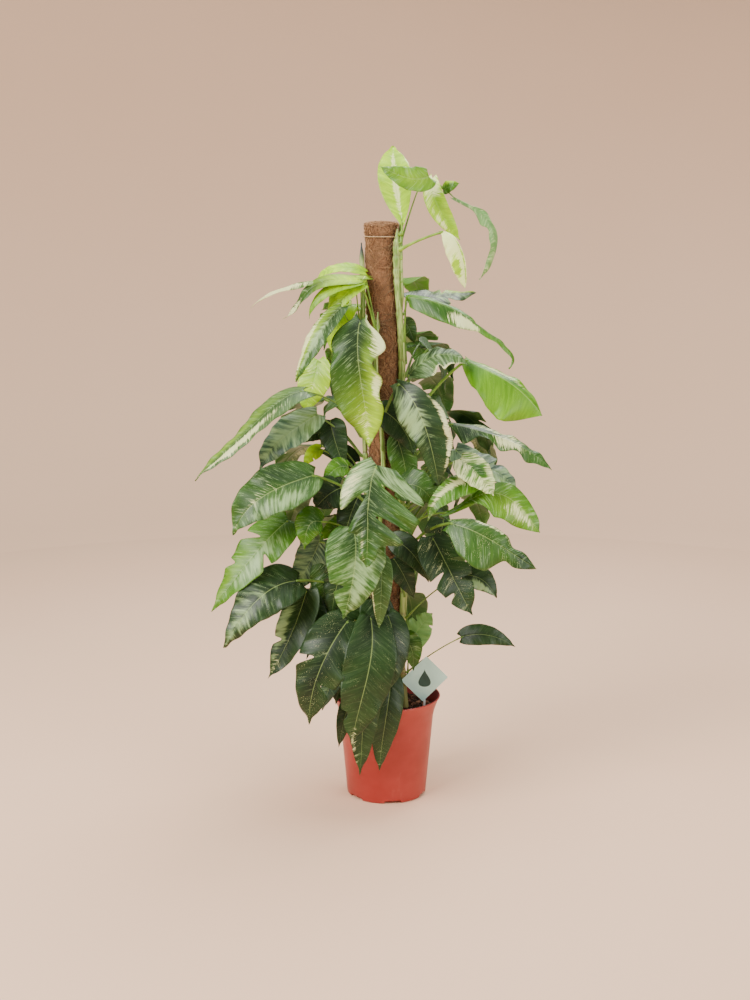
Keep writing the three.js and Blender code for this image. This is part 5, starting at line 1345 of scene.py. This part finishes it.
def make_label():
    """The card is a rectangle with rounded corners, turned onto one of them, with a round hole near its
    top. The mark on it is a plain drop. Both are flat outlines given a thickness. The stake is a bevelled
    strip that narrows to a point."""
    turn = math.radians(CARD_TURN_DEG)
    across = np.array([math.cos(turn), 0.0, -math.sin(turn)])
    up = np.array([math.sin(turn), 0.0, math.cos(turn)])
    front = np.array([0.0, -1.0, 0.0])

    def plate(outline_points, back, thick):
        """Two rings of one outline, back to front."""
        flat = outline_points[:, :1] * across + outline_points[:, 1:] * up + CARD_CENTRE
        return ringed(np.stack([flat + front * back, flat + front * (back + thick)])[None])

    arc = np.linspace(0.0, 0.5 * math.pi, 8)
    corners = []
    for index, (sx, sy) in enumerate(((1, 1), (-1, 1), (-1, -1), (1, -1))):
        a = arc + index * 0.5 * math.pi
        corner_x = sx * (CARD_WIDTH / 2.0 - CARD_CORNER)
        corner_y = sy * (CARD_HEIGHT / 2.0 - CARD_CORNER)
        corners.append(np.stack([corner_x + CARD_CORNER * np.cos(a),
                                 corner_y + CARD_CORNER * np.sin(a)], axis=-1))
    card = mesh_object("card_blank", plate(np.concatenate(corners)[::-1], -0.4, 0.8))
    hole = np.linspace(0.0, -2.0 * math.pi, 24, endpoint=False)
    ring = CARD_HOLE_RADIUS * np.stack([np.cos(hole), np.sin(hole)], axis=-1)
    corner = np.array([-math.sin(turn), math.cos(turn)]) * CARD_HOLE_RISE
    card = carve(card, mesh_object("punch", plate(ring + corner, -3.0, 6.0)))
    smooth_by_angle(card, 30.0)
    mint = plastic_look("card_print", (186, 226, 214), (196, 234, 222), 0.45)
    add_piece(card, mint, "card", "label_card")

    ink = plastic_look("card_ink", (34, 66, 58), (44, 78, 68), 0.5)
    a = np.linspace(0.0, 2.0 * math.pi, 48, endpoint=False)[::-1]
    drop_x = 11.0 * np.cos(a) * (1.0 - np.sin(a))
    drop_y = 21.0 * np.sin(a) + 2.0
    drop = np.stack([drop_x, drop_y], axis=-1) @ np.array([[math.cos(turn), math.sin(turn)],
                                                           [-math.sin(turn), math.cos(turn)]])
    add_piece(mesh_object("card_mark", plate(drop, 0.42, 0.1), smooth_faces=False), ink, "card")

    stem = np.linspace(0.0, 1.0, 12)[:, None]
    top = CARD_CENTRE + np.array([0.0, 1.5, -4.0])
    base = top - np.array([0.0, 0.0, STAKE_LENGTH])
    path = top + (base - top) * stem
    width = STAKE_HALF_WIDTH * np.where(stem[:, 0] > 0.86, 1.0 - (stem[:, 0] - 0.86) / 0.16, 1.0)
    outline_x = np.array([-1.0, -0.8, 0.8, 1.0, 1.0, 0.8, -0.8, -1.0])
    outline_y = np.array([0.4, 0.7, 0.7, 0.4, -0.4, -0.7, -0.7, -0.4])
    rings = path[:, None] + np.stack([
        width[:, None] * outline_x, np.broadcast_to(outline_y, (12, 8)), np.zeros((12, 8))], axis=-1)
    stake = mesh_object("card_stake", ringed(rings[None]), smooth_faces=False)
    white = plastic_look("stake_plastic", (226, 226, 220), (236, 236, 230), 0.4)
    add_piece(stake, white, "card_stake", "label_stake")


# Studio


def make_studio():
    """A round floor with a backdrop that curves up from its edge all round, four soft lights, the camera.
    The backdrop's outline is a quarter circle and then a wall, carried round the plant."""
    around = np.linspace(0.0, 2.0 * math.pi, 64, endpoint=False)
    bend = np.linspace(0.0, 0.5 * math.pi, 12)
    paper = Finish("studio_paper", Roughness=0.9, Specular_IOR_Level=0.1)
    clouds = paper.noise(paper.where((0.7, 0.7, 0.7)), detail=3.0)
    paper.colour(paper.mix(clouds, linear((240, 198, 164)), linear((245, 206, 174))))

    def turned(name, outline_points):
        """Quads between circles, one for each radius and height in metres."""
        radius, height = (np.array(outline_points) / MM).T
        rings = np.stack([radius[:, None] * np.cos(around), radius[:, None] * np.sin(around),
                          np.repeat(height[:, None], 64, 1)], axis=-1)
        grid = np.arange(rings.shape[0] * 64).reshape(-1, 64)
        nxt = np.roll(grid, -1, axis=1)
        quads = np.stack([grid[:-1], grid[1:], nxt[1:], nxt[:-1]], axis=-1).reshape(-1, 4)
        made = mesh_object(name, (rings.reshape(-1, 3), quads, np.zeros((0, 3), int)))
        made.data.materials.append(paper.material)
        return made

    turned("studio_floor", [(0.001, 0.0), (1.0, 0.0), (2.0, 0.0), (3.0, 0.0)])
    wall = [(3.0 + 2.0 * math.sin(a), 2.0 * (1.0 - math.cos(a))) for a in bend] + [(5.0, 7.0)]
    backdrop = turned("studio_backdrop", wall)
    backdrop.visible_shadow = False
    backdrop.visible_diffuse = False
    backdrop.visible_glossy = False

    def soft_light(name, place, aim, size, power, colour):
        data = bpy.data.lights.new(name, "AREA")
        data.shape = "RECTANGLE"
        data.size, data.size_y = size
        data.energy = power
        data.color = colour
        made = bpy.data.objects.new(name, data)
        way = np.array(aim) - np.array(place)
        flat = math.hypot(way[0], way[1])
        made.location = place
        made.visible_camera = False
        made.rotation_euler = (math.atan2(flat, -way[2]), 0.0, math.atan2(-way[0], way[1]))
        bpy.context.scene.collection.objects.link(made)

    soft_light("key_light", (-2.6, -2.4, 3.0), (0.0, 0.0, 0.8), (2.2, 2.2), 240.0, (1.0, 0.97, 0.93))
    soft_light("fill_light", (2.8, -2.6, 2.0), (0.0, 0.0, 0.7), (2.4, 2.4), 92.0, (1.0, 0.98, 0.96))
    soft_light("top_light", (0.2, 0.4, 3.6), (0.0, 0.0, 0.6), (2.6, 2.6), 90.0, (1.0, 1.0, 1.0))
    soft_light("rear_light", (1.4, 2.4, 4.2), (0.0, 0.0, 0.8), (2.0, 1.6), 110.0, (1.0, 0.98, 0.96))
    world = bpy.data.worlds.new("studio_air")
    world.use_nodes = True
    world.node_tree.nodes["Background"].inputs[0].default_value = (0.93, 0.9, 0.87, 1.0)
    world.node_tree.nodes["Background"].inputs[1].default_value = 0.4
    bpy.context.scene.world = world

    data = bpy.data.cameras.new("studio_camera")
    data.lens = CAMERA_LENS
    camera = bpy.data.objects.new("studio_camera", data)
    camera.location = CAMERA_PLACE
    camera.rotation_euler = (math.radians(90.0 - CAMERA_DOWN_DEG), 0.0, 0.0)
    bpy.context.scene.collection.objects.link(camera)
    bpy.context.scene.camera = camera


# The whole plant

make_studio()
make_pot()
make_soil()
make_coir()
make_crown_tuft()
make_binding()
nodes_by_vine = {name: [] for name in VINES}
for row in LEAVES:
    nodes_by_vine[row[1]].append(row[2])
    make_leaf(*row[:-1], **row[-1])
for vine_name, vine_nodes in nodes_by_vine.items():
    make_vine(vine_name, vine_nodes)
make_aerial_roots(nodes_by_vine)
make_label()

# The stake is inside the coir sleeve, out of sight but for its foot in the mix
stake_wood = Finish("stake_wood", Roughness=0.8)
stake_grain = stake_wood.noise(stake_wood.where((160.0, 160.0, 9.0)), detail=4.0)
stake_wood.colour(stake_wood.mix(stake_grain, linear((120, 88, 58)), linear((166, 130, 92))))
stake_wood.bump(stake_grain, 0.3, 0.0006)
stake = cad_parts["pole_stake"]
stake.data.materials.clear()
stake.data.materials.append(stake_wood.material)
